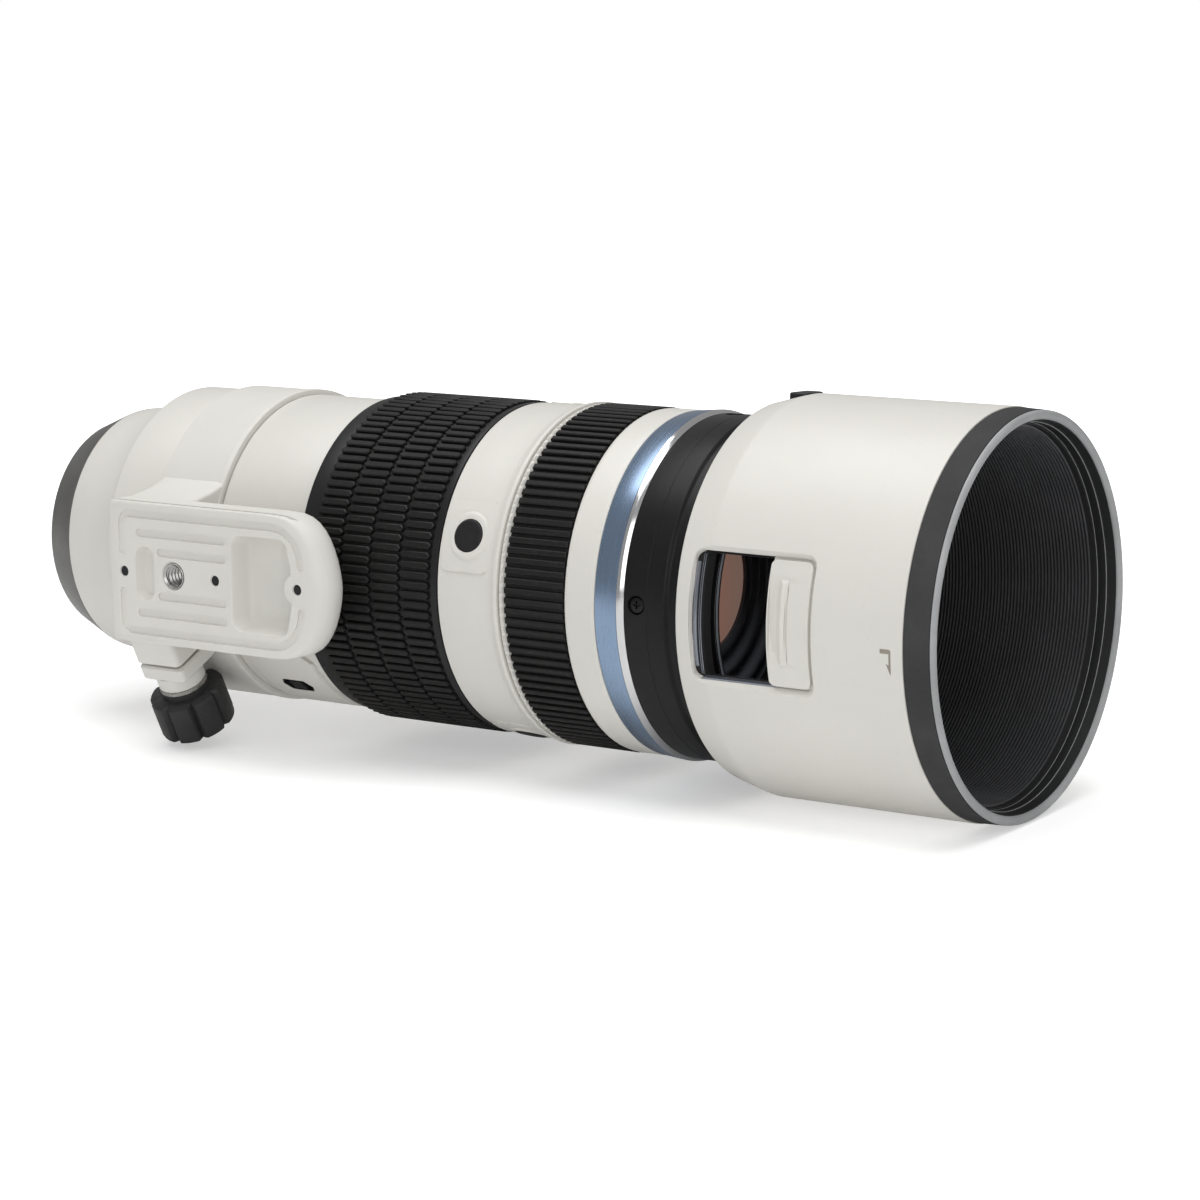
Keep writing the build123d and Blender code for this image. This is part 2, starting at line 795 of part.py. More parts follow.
# Front barrel: rear sleeve, black band, hood seat and filter thread in one piece
sleeve_r = white_r - shell_wall - tube_wall
front_bore_r = in_tube_r + side_gap * 2
front_skin_r = black_r - front_wall
black_step_x = black_x + black_band_length
hood_seat_x = hood_x + side_gap
thread_start_x = front_x - filter_thread_length
with BuildPart() as front_barrel:
    with BuildSketch(Plane.XY):
        with BuildLine():
            Polyline(
                (blue_x, on_tube_r), (blue_x, sleeve_r), (black_x, sleeve_r), (black_x, black_r),
                (black_step_x, black_r), (black_step_x + black_step, black_step_r),
                (hood_seat_x, black_step_r), (hood_seat_x, hood_seat_r),
                (hood_seat_x + front_wall, hood_seat_r), (hood_seat_x + front_wall, filter_rim_r),
                (front_x, filter_rim_r), (front_x, filter_r), (thread_start_x, filter_r),
                (thread_start_x, front_bore_r), (black_step_x, front_bore_r),
                (black_step_x, front_skin_r), (black_x + web, front_skin_r),
                (black_x + web, front_bore_r), (tube_end_x + side_gap, front_bore_r),
                (tube_end_x + side_gap, on_tube_r), close=True,
            )
        make_face()
    revolve(axis=Axis.X)
    # turned grooves that stand for the filter thread
    grooves = int(filter_thread_length / filter_thread_pitch) - 1
    with BuildSketch(Plane.XY):
        for groove in range(grooves):
            with Locations((thread_start_x + filter_thread_pitch * (groove + 1), filter_r)):
                Rectangle(filter_thread_pitch / 2, filter_thread_pitch / 2)
    revolve(axis=Axis.X, mode=Mode.SUBTRACT)
    for step in range(barrel_screw_count):
        angle = barrel_screw_angle + 360 / barrel_screw_count * step
        screw_x = black_x + barrel_screw_offset
        head_bottom_r = black_r - barrel_screw_recess - barrel_screw_head_depth
        with BuildSketch(tangent_plane(angle, screw_x, head_bottom_r)):
            Circle(barrel_screw_head_r + side_gap)
        extrude(amount=overrun, mode=Mode.SUBTRACT)
        with BuildSketch(tangent_plane(angle, screw_x, head_bottom_r)):
            Circle(barrel_screw_shank_r + seat_gap)
        extrude(amount=-overrun, mode=Mode.SUBTRACT)
finish(front_barrel, "front_barrel")

# Four cross-head screws that hold the front barrel
with BuildPart() as barrel_screws:
    for step in range(barrel_screw_count):
        angle = barrel_screw_angle + 360 / barrel_screw_count * step
        with BuildSketch(tangent_plane(angle, screw_x, head_bottom_r)):
            Circle(barrel_screw_head_r)
        extrude(amount=barrel_screw_head_depth)
        with BuildSketch(tangent_plane(angle, screw_x, head_bottom_r)):
            Circle(barrel_screw_shank_r)
        extrude(amount=-barrel_screw_length)
        with BuildSketch(tangent_plane(angle, screw_x, head_bottom_r + barrel_screw_head_depth / 2)):
            Rectangle(cross_length, cross_width)
            Rectangle(cross_width, cross_length)
        extrude(amount=barrel_screw_head_depth, mode=Mode.SUBTRACT)
finish(barrel_screws, "barrel_screws")

# Steel-blue ring and the polished ring in front of it
with BuildPart() as blue_ring:
    with BuildSketch(Plane.XY):
        with BuildLine():
            Polyline(
                (blue_x + seat_gap, sleeve_r + seat_gap), (blue_x + seat_gap, white_r),
                (silver_x, blue_r), (silver_x, sleeve_r + seat_gap), close=True,
            )
        make_face()
    revolve(axis=Axis.X)
finish(blue_ring, "blue_ring")

with BuildPart() as silver_ring:
    with BuildSketch(Plane.XY):
        with BuildLine():
            Polyline(
                (silver_x, sleeve_r + seat_gap), (silver_x, blue_r),
                (silver_x + silver_length / 2, (blue_r + black_r) / 2 + chamfer_size / 2),
                (black_x, black_r), (black_x, sleeve_r + seat_gap), close=True,
            )
        make_face()
    revolve(axis=Axis.X)
finish(silver_ring, "silver_ring")

# Front cell, its glass and the ring that retains it
front_cell_x = tube_end_x + front_cell_play / 2
front_cell_r = front_bore_r - seat_gap
front_glass_r = front_cell_r - front_cell_wall
front_glass_x = front_cell_x + front_glass_rear_offset
front_glass_end_x = front_glass_x + front_glass_edge
with BuildPart() as front_cell:
    with BuildSketch(Plane.XY):
        with BuildLine():
            Polyline(
                (front_cell_x, front_glass_r - web), (front_cell_x, front_cell_r),
                (thread_start_x - retainer_lip, front_cell_r),
                (thread_start_x - retainer_lip, front_glass_r + seat_gap),
                (front_glass_x, front_glass_r + seat_gap), (front_glass_x, front_glass_r - web),
                close=True,
            )
        make_face()
    revolve(axis=Axis.X)
finish(front_cell, "front_cell")

with BuildPart() as front_element:
    with BuildSketch(Plane.XY):
        with BuildLine():
            Line(
                (front_glass_x - front_glass_rear_bulge, 0),
                (front_glass_end_x + front_glass_front_bulge, 0),
            )
            ThreePointArc(
                (front_glass_end_x + front_glass_front_bulge, 0),
                face_middle(front_glass_end_x, front_glass_r, front_glass_front_bulge),
                (front_glass_end_x, front_glass_r),
            )
            Polyline(
                (front_glass_end_x, front_glass_r), (front_glass_x, front_glass_r),
                (front_glass_x, front_glass_r - web),
            )
            ThreePointArc(
                (front_glass_x, front_glass_r - web),
                face_middle(front_glass_x, front_glass_r - web, -front_glass_rear_bulge),
                (front_glass_x - front_glass_rear_bulge, 0),
            )
        make_face()
    revolve(axis=Axis.X)
finish(front_element, "front_element")

with BuildPart() as front_retainer:
    with BuildSketch(Plane.XY):
        with BuildLine():
            Polyline(
                (front_glass_end_x + retainer_land / 2, front_glass_r - retainer_land),
                (front_glass_end_x, front_glass_r),
                (thread_start_x - retainer_lip, front_glass_r),
                (thread_start_x - retainer_lip, front_cell_r),
                (thread_start_x - seat_gap, front_cell_r),
                (thread_start_x - seat_gap, front_glass_r + chamfer_size), close=True,
            )
        make_face()
    revolve(axis=Axis.X)
finish(front_retainer, "front_retainer")

# Circuit board behind the rear shell, and the linear motor of the focus group
with BuildPart() as circuit_board:
    with BuildSketch(Plane.YZ.offset(board_x)):
        Circle(in_tube_r)
        Circle(board_inner_r, mode=Mode.SUBTRACT)
    extrude(amount=board_thickness)
finish(circuit_board, "circuit_board")

motor_start_x = focus_cell_x + cell_web / 2 - motor_length / 2
with BuildPart() as focus_motor:
    with BuildSketch(section_plane(motor_span / 2)):
        with BuildLine():
            Polyline(
                (motor_start_x, cell_r + side_gap), (motor_start_x, in_tube_r),
                (motor_start_x + motor_length, in_tube_r),
                (motor_start_x + motor_length, cell_r + side_gap), close=True,
            )
        make_face()
    revolve(axis=Axis.X, revolution_arc=motor_span)
finish(focus_motor, "focus_motor")

# Two guide rods between two plates: the moving cells slide along them
rod_rear_x = board_x + board_thickness + overrun
rod_front_x = cam_end_x + side_gap
rod_end_x = rod_front_x + rod_plate_thickness
with BuildPart() as guide_rods:
    with BuildSketch(Plane.YZ.offset(rod_rear_x)):
        with PolarLocations(rod_ring_r, rod_count, start_angle=90):
            Circle(rod_r)
    extrude(amount=rod_end_x - rod_rear_x)
finish(guide_rods, "guide_rods")

with BuildPart() as rod_plate:
    with BuildSketch(Plane.YZ.offset(rod_front_x)):
        Circle(in_tube_r)
        Circle(glass_r, mode=Mode.SUBTRACT)
        with PolarLocations(rod_ring_r, rod_count, start_angle=90):
            Circle(rod_r + seat_gap, mode=Mode.SUBTRACT)
    extrude(amount=rod_plate_thickness)
finish(rod_plate, "rod_plate")

# Rear cell: a tube that holds the last glass and a plate that holds the rods' rear ends
rear_cell_r = rear_glass_r + cell_wall
with BuildPart() as rear_cell:
    with BuildSketch(Plane.YZ.offset(rear_cell_x)):
        Circle(rear_cell_r)
        Circle(rear_glass_r - cell_wall, mode=Mode.SUBTRACT)
    extrude(amount=rear_glass_x - rear_cell_x)
    with BuildSketch(Plane.YZ.offset(rear_glass_x)):
        Circle(rear_cell_r)
        Circle(rear_glass_r + seat_gap, mode=Mode.SUBTRACT)
    extrude(amount=rod_rear_x - rear_glass_x)
    with BuildSketch(Plane.YZ.offset(rod_rear_x)):
        Circle(in_tube_r)
        Circle(rear_glass_r + seat_gap, mode=Mode.SUBTRACT)
        with PolarLocations(rod_ring_r, rod_count, start_angle=90):
            Circle(rod_r + seat_gap, mode=Mode.SUBTRACT)
    extrude(amount=rod_plate_thickness)
finish(rear_cell, "rear_cell")


def lens_outline(station, radius, edge, front_bulge, rear_bulge):
    """Half section of a glass element that bulges both ways; the station is its rear rim."""
    Line((station - rear_bulge, 0), (station + edge + front_bulge, 0))
    ThreePointArc(
        (station + edge + front_bulge, 0), face_middle(station + edge, radius, front_bulge),
        (station + edge, radius),
    )
    Line((station + edge, radius), (station, radius))
    ThreePointArc((station, radius), face_middle(station, radius, -rear_bulge), (station - rear_bulge, 0))


with BuildPart() as rear_element:
    with BuildSketch(Plane.XY):
        with BuildLine():
            lens_outline(rear_glass_x, rear_glass_r, glass_edge, glass_bulge, -glass_bulge / 2)
        make_face()
    revolve(axis=Axis.X)
finish(rear_element, "rear_element")

# Moving cells: each has a hub round its glass, a web on the rods and, if the cam drives it, a pin
moving_cells = (
    ("variator", variator_x, variator_pin_angle, -glass_bulge),
    ("compensator", compensator_x, compensator_pin_angle, glass_bulge),
    ("focus", focus_cell_x + cell_web / 2, None, glass_bulge),
)
for name, middle_x, pin_angle, bulge in moving_cells:
    with BuildPart() as cell:
        with BuildSketch(Plane.YZ.offset(middle_x - cell_web / 2)):
            Circle(cell_r)
            Circle(glass_r + seat_gap, mode=Mode.SUBTRACT)
            with PolarLocations(rod_ring_r, rod_count, start_angle=90):
                Circle(rod_r + running / 2, mode=Mode.SUBTRACT)
        extrude(amount=cell_web)
        with BuildSketch(Plane.YZ.offset(middle_x + cell_web / 2)):
            Circle(glass_r + cell_wall)
            Circle(glass_r + seat_gap, mode=Mode.SUBTRACT)
        extrude(amount=glass_edge)
        if pin_angle is not None:
            with BuildSketch(tangent_plane(pin_angle, middle_x, cell_r - cell_wall)):
                Circle(follower_r)
            extrude(amount=cam_r - side_gap - cell_r + cell_wall)
    finish(cell, name + "_cell")
    with BuildPart() as glass:
        with BuildSketch(Plane.XY):
            with BuildLine():
                glass_start_x = middle_x + cell_web / 2 - glass_edge / 2
                lens_outline(glass_start_x, glass_r, glass_edge, bulge, -bulge / 2)
            make_face()
        revolve(axis=Axis.X)
    finish(glass, name + "_element")

# Iris: a housing, nine blades and the ring that drives them
iris_outer_r = rod_ring_r - rod_r - side_gap - iris_wall
iris_floor_x = iris_x + iris_wall
drive_x = iris_floor_x + blade_thickness + side_gap
drive_r = iris_outer_r - side_gap
with BuildPart() as iris_housing:
    with BuildSketch(Plane.YZ.offset(iris_x)):
        Circle(in_tube_r)
        Circle(iris_aperture_r, mode=Mode.SUBTRACT)
        with PolarLocations(rod_ring_r, rod_count, start_angle=90):
            Circle(rod_r + seat_gap, mode=Mode.SUBTRACT)
    extrude(amount=iris_length)
    with BuildSketch(Plane.YZ.offset(iris_floor_x)):
        Circle(iris_outer_r)
    extrude(amount=iris_length, mode=Mode.SUBTRACT)
finish(iris_housing, "iris_housing")

with BuildPart() as iris_blades:
    blade_span = 360 / blade_count - blade_gap_angle
    for blade in range(blade_count):
        with BuildSketch(section_plane(360 / blade_count * blade)):
            with BuildLine():
                Polyline(
                    (iris_floor_x, blade_inner_r), (iris_floor_x, drive_r),
                    (iris_floor_x + blade_thickness, drive_r),
                    (iris_floor_x + blade_thickness, blade_inner_r), close=True,
                )
            make_face()
        revolve(axis=Axis.X, revolution_arc=blade_span)
finish(iris_blades, "iris_blades")

with BuildPart() as iris_drive_ring:
    with BuildSketch(Plane.YZ.offset(drive_x)):
        Circle(drive_r)
        Circle(iris_aperture_r, mode=Mode.SUBTRACT)
    extrude(amount=drive_thickness)
finish(iris_drive_ring, "iris_drive_ring")

# Stabiliser: a frame, a carrier that shifts across it, and the lens cell that shifts on the carrier
carrier_r = drive_r - stabiliser_travel
carrier_x = stabiliser_x + stabiliser_plate + side_gap
stabiliser_cell_x = carrier_x + carrier_thickness + side_gap
with BuildPart() as stabiliser_frame:
    with BuildSketch(Plane.YZ.offset(stabiliser_x)):
        Circle(in_tube_r)
        Circle(iris_aperture_r, mode=Mode.SUBTRACT)
        with PolarLocations(rod_ring_r, rod_count, start_angle=90):
            Circle(rod_r + seat_gap, mode=Mode.SUBTRACT)
    extrude(amount=stabiliser_plate)
finish(stabiliser_frame, "stabiliser_frame")

with BuildPart() as stabiliser_carrier:
    with BuildSketch(Plane.YZ.offset(carrier_x)):
        Circle(carrier_r)
        Circle(stabiliser_glass_r, mode=Mode.SUBTRACT)
    extrude(amount=carrier_thickness)
finish(stabiliser_carrier, "stabiliser_carrier")

with BuildPart() as stabiliser_cell:
    with BuildSketch(Plane.YZ.offset(stabiliser_cell_x)):
        Circle(carrier_r - stabiliser_travel)
        Circle(stabiliser_glass_r + seat_gap, mode=Mode.SUBTRACT)
    extrude(amount=stabiliser_cell_length)
finish(stabiliser_cell, "stabiliser_cell")

with BuildPart() as stabiliser_element:
    with BuildSketch(Plane.XY):
        with BuildLine():
            glass_start_x = stabiliser_cell_x + (stabiliser_cell_length - glass_edge) / 2
            lens_outline(glass_start_x, stabiliser_glass_r, glass_edge, -glass_bulge / 2, -glass_bulge / 2)
        make_face()
    revolve(axis=Axis.X)
finish(stabiliser_element, "stabiliser_element")

# Tripod collar: a split ring round the seat, its neck and the dovetail foot, in one casting
foot_drop = barrel_r + finger_gap + foot_thickness
foot_start_x = collar_x + foot_back
foot_end_x = foot_start_x + foot_length
foot_top = foot_drop - foot_thickness
collar_inner_r = seat_r + running
clamp_ring_r = collar_r + clamp_offset
clamp_way = (0, sin(radians(clamp_tilt)), -cos(radians(clamp_tilt)))
clamp_middle_x = collar_x + clamp_x
neck_width_x = collar_width - 2 * running
boss_start = split_start + split_gap + lower_ear
boss_end = boss_start + boss_height


def foot_plane(drop):
    """Plane at a distance below the axis on the foot's side; X stays X, its Y is the row's Z."""
    return Plane((0, -drop, 0), (1, 0, 0), (0, -1, 0))


def clamp_plane(reach):
    """Plane across the clamp screw; its Y points away from the optical axis."""
    away = outward(-clamp_tilt)
    return Plane(
        (
            clamp_middle_x,
            away[1] * clamp_ring_r + clamp_way[1] * reach,
            away[2] * clamp_ring_r + clamp_way[2] * reach,
        ),
        (1, 0, 0),
        clamp_way,
    )


with BuildPart() as tripod_collar:
    # foot plate, rounded at the nose in plan and from the side
    with BuildSketch(foot_plane(foot_top)) as plate:
        with BuildLine():
            nose_x = foot_end_x - foot_nose_bulge
            Line((foot_start_x, -foot_width / 2), (nose_x, -foot_width / 2))
            ThreePointArc((nose_x, -foot_width / 2), (foot_end_x, 0), (nose_x, foot_width / 2))
            Polyline(
                (nose_x, foot_width / 2), (foot_start_x, foot_width / 2),
                (foot_start_x, -foot_width / 2),
            )
        make_face()
        fillet(plate.vertices().sort_by(Axis.X)[-2:], foot_corner)
        fillet(plate.vertices().sort_by(Axis.X)[:2], foot_heel_round)
    extrude(amount=foot_thickness)
    with BuildSketch(Plane.XY) as side:
        with BuildLine():
            Polyline(
                (foot_start_x, -foot_drop), (foot_start_x, -foot_top), (foot_end_x, -foot_top),
                (foot_end_x, -foot_drop), close=True,
            )
        make_face()
        nose = side.vertices().sort_by(Axis.X)[-2:].sort_by(Axis.Y)
        fillet(nose[:1], foot_nose_round)
        fillet(side.vertices().sort_by(Axis.Y)[-2:].sort_by(Axis.X)[-1:], foot_nose_top_round)
    extrude(amount=foot_width, both=True, mode=Mode.INTERSECT)
    # dovetail groove along both sides
    for way in (-1, 1):
        with BuildSketch(Plane.YZ.offset(foot_start_x - overrun)):
            with BuildLine():
                Polyline(
                    (dovetail_rise - foot_drop, way * foot_width / 2),
                    (
                        dovetail_rise + dovetail_groove / 2 - foot_drop,
                        way * (foot_width / 2 - dovetail_depth),
                    ),
                    (dovetail_rise + dovetail_groove - foot_drop, way * foot_width / 2), close=True,
                )
            make_face()
        extrude(amount=foot_length + 2 * overrun, mode=Mode.SUBTRACT)
    # neck, the ring and the two clamp ears
    with BuildSketch(foot_plane(foot_top)):
        with Locations((collar_x + collar_width / 2, 0)):
            Rectangle(neck_width_x, neck_tip_width)
    with BuildSketch(foot_plane(collar_r - neck_root_drop)):
        with Locations((collar_x + collar_width / 2, 0)):
            Rectangle(neck_width_x, neck_root_width)
    loft(ruled=True)
    with BuildSketch(Plane.YZ.offset(collar_x)):
        Circle(collar_r)
    extrude(amount=collar_width)
    with BuildSketch(clamp_plane(upper_ear_start)):
        with Locations((0, (ear_outer - ear_inner) / 2)):
            Rectangle(ear_length, ear_outer + ear_inner)
    extrude(amount=boss_start - upper_ear_start)
    with BuildSketch(clamp_plane(boss_start)):
        Circle(boss_r)
    extrude(amount=boss_height)
    with BuildSketch(Plane.YZ.offset(collar_x - overrun)):
        Circle(collar_inner_r)
    extrude(amount=collar_width + 2 * overrun, mode=Mode.SUBTRACT)
    with BuildSketch(clamp_plane(split_start)):
        Rectangle(2 * collar_width, 2 * split_reach)
    extrude(amount=split_gap, mode=Mode.SUBTRACT)
    with BuildSketch(clamp_plane(boss_end)):
        Circle(clamp_screw_r + running)
    extrude(amount=-(clamp_screw_length - knob_bore_depth + clamp_nut_gap), mode=Mode.SUBTRACT)
    # holes and hollows in the base of the foot
    with BuildSketch(foot_plane(foot_drop)):
        with Locations((foot_start_x + thread_x, 0)):
            Circle(thread_r + insert_wall + seat_gap)
    extrude(amount=-insert_length, mode=Mode.SUBTRACT)
    with BuildSketch(foot_plane(foot_drop)):
        with Locations(*[(foot_start_x + offset, 0) for offset in pilot_offsets]):
            Circle(pilot_r)
    extrude(amount=-pilot_depth, mode=Mode.SUBTRACT)
    with BuildSketch(foot_plane(foot_drop)):
        with Locations((foot_start_x + oval_x, 0)):
            SlotOverall(oval_length, oval_width, rotation=90)
    extrude(amount=-oval_depth, mode=Mode.SUBTRACT)
    with BuildSketch(foot_plane(foot_drop)):
        with Locations((foot_start_x + pocket_x + pocket_length / 2, 0)):
            RectangleRounded(pocket_length, pocket_width, pocket_corner)
    extrude(amount=-pocket_depth, mode=Mode.SUBTRACT)
    with BuildSketch(foot_plane(foot_drop)):
        for rail_length, rail_z in ((rail_inner_length, rail_inner_z), (rail_outer_length, rail_outer_z)):
            rail_middle_x = foot_start_x + rail_end_x - rail_length / 2
            with Locations((rail_middle_x, rail_z), (rail_middle_x, -rail_z)):
                SlotOverall(rail_length, rail_width)
    extrude(amount=-rail_depth, mode=Mode.SUBTRACT)
finish(tripod_collar, "tripod_collar")

# Steel insert with the tripod thread's inner diameter
with BuildPart() as thread_insert:
    with BuildSketch(foot_plane(foot_drop)):
        with Locations((foot_start_x + thread_x, 0)):
            Circle(thread_r + insert_wall)
            Circle(thread_r, mode=Mode.SUBTRACT)
    extrude(amount=-insert_length)
finish(thread_insert, "thread_insert")

# Clamp: steel washer, screw and fluted knob
knob_start = boss_end + washer_thickness + seat_gap
with BuildPart() as clamp_washer:
    with BuildSketch(clamp_plane(boss_end)):
        Circle(washer_r)
        Circle(clamp_screw_r + running, mode=Mode.SUBTRACT)
    extrude(amount=washer_thickness)
finish(clamp_washer, "clamp_washer")

with BuildPart() as clamp_screw:
    with BuildSketch(clamp_plane(knob_start + knob_bore_depth)):
        Circle(clamp_screw_r)
    extrude(amount=-clamp_screw_length)
finish(clamp_screw, "clamp_screw")

with BuildPart() as clamp_knob:
    with BuildSketch(clamp_plane(knob_start)):
        Circle(knob_neck_r)
    extrude(amount=knob_neck_length)
    with BuildSketch(clamp_plane(knob_start + knob_neck_length)):
        Circle(knob_r)
        with PolarLocations(knob_r + knob_flute_r - knob_flute_depth, knob_lobes):
            Circle(knob_flute_r, mode=Mode.SUBTRACT)
    extrude(amount=knob_length - knob_neck_length)
    chamfer(clamp_knob.faces().sort_by(Axis((0, 0, 0), clamp_way))[-1].edges(), knob_chamfer)
    with BuildSketch(clamp_plane(knob_start)):
        Circle(clamp_screw_r + seat_gap)
    extrude(amount=knob_bore_depth, mode=Mode.SUBTRACT)
finish(clamp_knob, "clamp_knob")

# Hood shell: cone, drum, the window and the hole for the release button
lining_r = hood_inner_r - 2 * side_gap - door_plate
hood_step_x = hood_x + hood_step_length
window_x = hood_x + window_inset
window_end_x = window_x + window_length
ring_r = hood_rear_r - hood_wall
release_x = hood_x + release_offset
release_cone_r = hood_rear_r + hood_rear_drop * release_offset / hood_cone_length
with BuildPart() as hood_shell:
    with BuildSketch(Plane.XY):
        with BuildLine():
            Polyline(
                (hood_x, ring_r), (hood_x, hood_rear_r), (hood_body_x, hood_r), (rim_x, hood_r),
                (rim_x, hood_inner_r), (window_x - side_gap, hood_inner_r),
                (window_x - side_gap, lining_r + seat_gap), (hood_step_x, lining_r + seat_gap),
                (hood_step_x, ring_r), close=True,
            )
        make_face()
    revolve(axis=Axis.X)
    with BuildSketch(section_plane(window_angle + window_span / 2)):
        with BuildLine():
            Polyline(
                (window_x, ring_r - overrun), (window_x, hood_r - window_bevel),
                (window_x - window_bevel, hood_r + overrun),
                (window_end_x + window_bevel, hood_r + overrun),
                (window_end_x, hood_r - window_bevel), (window_end_x, ring_r - overrun), close=True,
            )
        make_face()
    revolve(axis=Axis.X, revolution_arc=window_span, mode=Mode.SUBTRACT)
    with BuildSketch(tangent_plane(release_angle, release_x, ring_r - overrun)):
        RectangleRounded(release_length + 2 * side_gap, release_width + 2 * side_gap, release_corner)
    extrude(amount=2 * overrun + hood_rear_drop, mode=Mode.SUBTRACT)
finish(hood_shell, "hood_shell")

# Ribbed lining, which also carries the ring that locks on the front barrel
lining_start_x = hood_step_x + 2 * seat_gap
lining_tube_x = lining_start_x + lining_margin
lining_end_x = end_x - lip_depth - seat_gap
lining_inner_r = lining_r - lining_wall
rib_count = int((lining_end_x - lining_tube_x - lining_margin) / lining_rib_pitch)
with BuildPart() as hood_lining:
    with BuildSketch(Plane.XY):
        with BuildLine():
            ribs = []
            for rib in range(rib_count):
                rib_x = lining_tube_x + lining_margin + rib * lining_rib_pitch
                ribs.append((rib_x, lining_inner_r))
                ribs.append((rib_x + lining_rib_pitch / 2, lining_inner_r - lining_rib_depth))
            Polyline(
                (hood_seat_x + side_gap, hood_seat_r + running),
                (hood_seat_x + side_gap, ring_r - seat_gap),
                (lining_start_x, ring_r - seat_gap), (lining_start_x, lining_r),
                (lining_end_x, lining_r), (lining_end_x, lining_inner_r), *reversed(ribs),
                (lining_tube_x, lining_inner_r), (lining_tube_x, hood_seat_r + running), close=True,
            )
        make_face()
    revolve(axis=Axis.X)
    with BuildSketch(section_plane(window_angle + window_span / 2)):
        with BuildLine():
            Polyline(
                (window_x, ring_r - overrun), (window_x, hood_r), (window_end_x, hood_r),
                (window_end_x, ring_r - overrun), close=True,
            )
        make_face()
    revolve(axis=Axis.X, revolution_arc=window_span, mode=Mode.SUBTRACT)
finish(hood_lining, "hood_lining")

# Black front rim with a tongue under the shell, and the grey lip in front of it
tongue_r = lining_r + seat_gap
with BuildPart() as hood_rim:
    with BuildSketch(Plane.XY):
        with BuildLine():
            Polyline(
                (rim_x - rim_tongue, tongue_r), (rim_x - rim_tongue, hood_inner_r - seat_gap),
                (rim_x + seat_gap, hood_inner_r - seat_gap), (rim_x + seat_gap, rim_r),
                (lip_x - seat_gap, lip_r + seat_gap), (lip_x - seat_gap, tongue_r), close=True,
            )
        make_face()
    revolve(axis=Axis.X)
finish(hood_rim, "hood_rim")

lip_throat_r = hood_r - lip_throat_drop
lip_crest_r = (lip_r + tongue_r) / 2
with BuildPart() as hood_lip:
    with BuildSketch(Plane.XY):
        with BuildLine():
            Polyline(
                (end_x - lip_length / 2, tongue_r - lip_wall / 2), (end_x - lip_step, lip_throat_r),
                (end_x - lip_depth, lip_throat_r + lip_wall / 2), (end_x - lip_depth, lining_r),
                (lip_x, lining_r), (lip_x, lip_r),
            )
            ThreePointArc(
                (lip_x, lip_r), (end_x, lip_crest_r), (end_x - lip_length / 2, tongue_r - lip_wall / 2),
            )
        make_face()
    revolve(axis=Axis.X)
finish(hood_lip, "hood_lip")

# Window door: a curved plate between shell and lining, its visible block and a finger ridge
door_x = window_end_x - side_gap - door_block_length
door_bottom_r = lining_r + side_gap
door_top_r = door_bottom_r + door_plate
door_span = window_span + 2 * door_overlap_angle
block_span = window_span - 2 * door_play_angle
with BuildPart() as hood_door:
    for start, end, low, high, span in (
        (door_x, door_x + door_plate_length, door_bottom_r, door_top_r, door_span),
        (door_x, door_x + door_block_length, door_bottom_r, door_top_r + door_block_rise, block_span),
        (
            door_x + door_grip_offset, door_x + door_grip_offset + door_grip_width, door_bottom_r,
            door_top_r + door_block_rise + door_grip_rise, door_grip_span,
        ),
    ):
        with BuildSketch(section_plane(window_angle + span / 2)):
            with BuildLine():
                Polyline((start, low), (start, high), (end, high), (end, low), close=True)
            make_face()
        revolve(axis=Axis.X, revolution_arc=span)
finish(hood_door, "hood_door")

# Hood release button
release_top_r = release_cone_r + release_rise
with BuildPart() as hood_release:
    with BuildSketch(tangent_plane(release_angle, release_x, release_top_r - release_depth)):
        RectangleRounded(release_length, release_width, release_corner - side_gap)
    extrude(amount=release_depth)
    fillet(hood_release.faces().sort_by(Axis((0, 0, 0), outward(release_angle)))[-1].edges(), chamfer_size)
finish(hood_release, "hood_release")
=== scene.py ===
# %% [markdown]
# A fast telephoto zoom lens lies on its tripod knob and on the rim of its hood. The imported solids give
# the frame: this script loads them first, and everything made below is placed in the same metres.
# The box of the solids is kept, because no dressed piece may stand outside it.
# %% The frame
from math import atan2, cos, pi, radians, sin, sqrt, tau

import bmesh
import bpy
from mathutils import Matrix, Vector


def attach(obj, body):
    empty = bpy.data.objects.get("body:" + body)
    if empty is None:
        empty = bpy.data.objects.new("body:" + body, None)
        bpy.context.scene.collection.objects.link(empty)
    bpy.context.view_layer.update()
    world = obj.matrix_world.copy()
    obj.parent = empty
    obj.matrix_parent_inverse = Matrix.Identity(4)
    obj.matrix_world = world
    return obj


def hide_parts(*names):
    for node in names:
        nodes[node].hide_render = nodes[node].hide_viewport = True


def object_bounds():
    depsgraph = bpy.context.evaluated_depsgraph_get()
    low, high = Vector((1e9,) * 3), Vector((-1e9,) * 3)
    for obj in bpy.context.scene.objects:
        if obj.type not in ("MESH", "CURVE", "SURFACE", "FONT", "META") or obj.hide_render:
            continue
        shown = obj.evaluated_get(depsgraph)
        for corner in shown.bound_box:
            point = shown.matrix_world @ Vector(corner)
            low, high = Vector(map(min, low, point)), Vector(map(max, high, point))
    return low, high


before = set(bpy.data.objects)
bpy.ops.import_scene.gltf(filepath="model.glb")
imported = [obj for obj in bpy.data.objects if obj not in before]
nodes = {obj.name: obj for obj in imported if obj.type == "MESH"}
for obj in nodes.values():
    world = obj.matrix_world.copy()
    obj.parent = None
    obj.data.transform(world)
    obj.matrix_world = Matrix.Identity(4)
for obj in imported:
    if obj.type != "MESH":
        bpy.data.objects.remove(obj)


def plain(box):
    """A box as plain lists of numbers."""
    return [[round(float(value), 6) for value in corner] for corner in box]


solid_box = plain(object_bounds())
print("solids", solid_box)

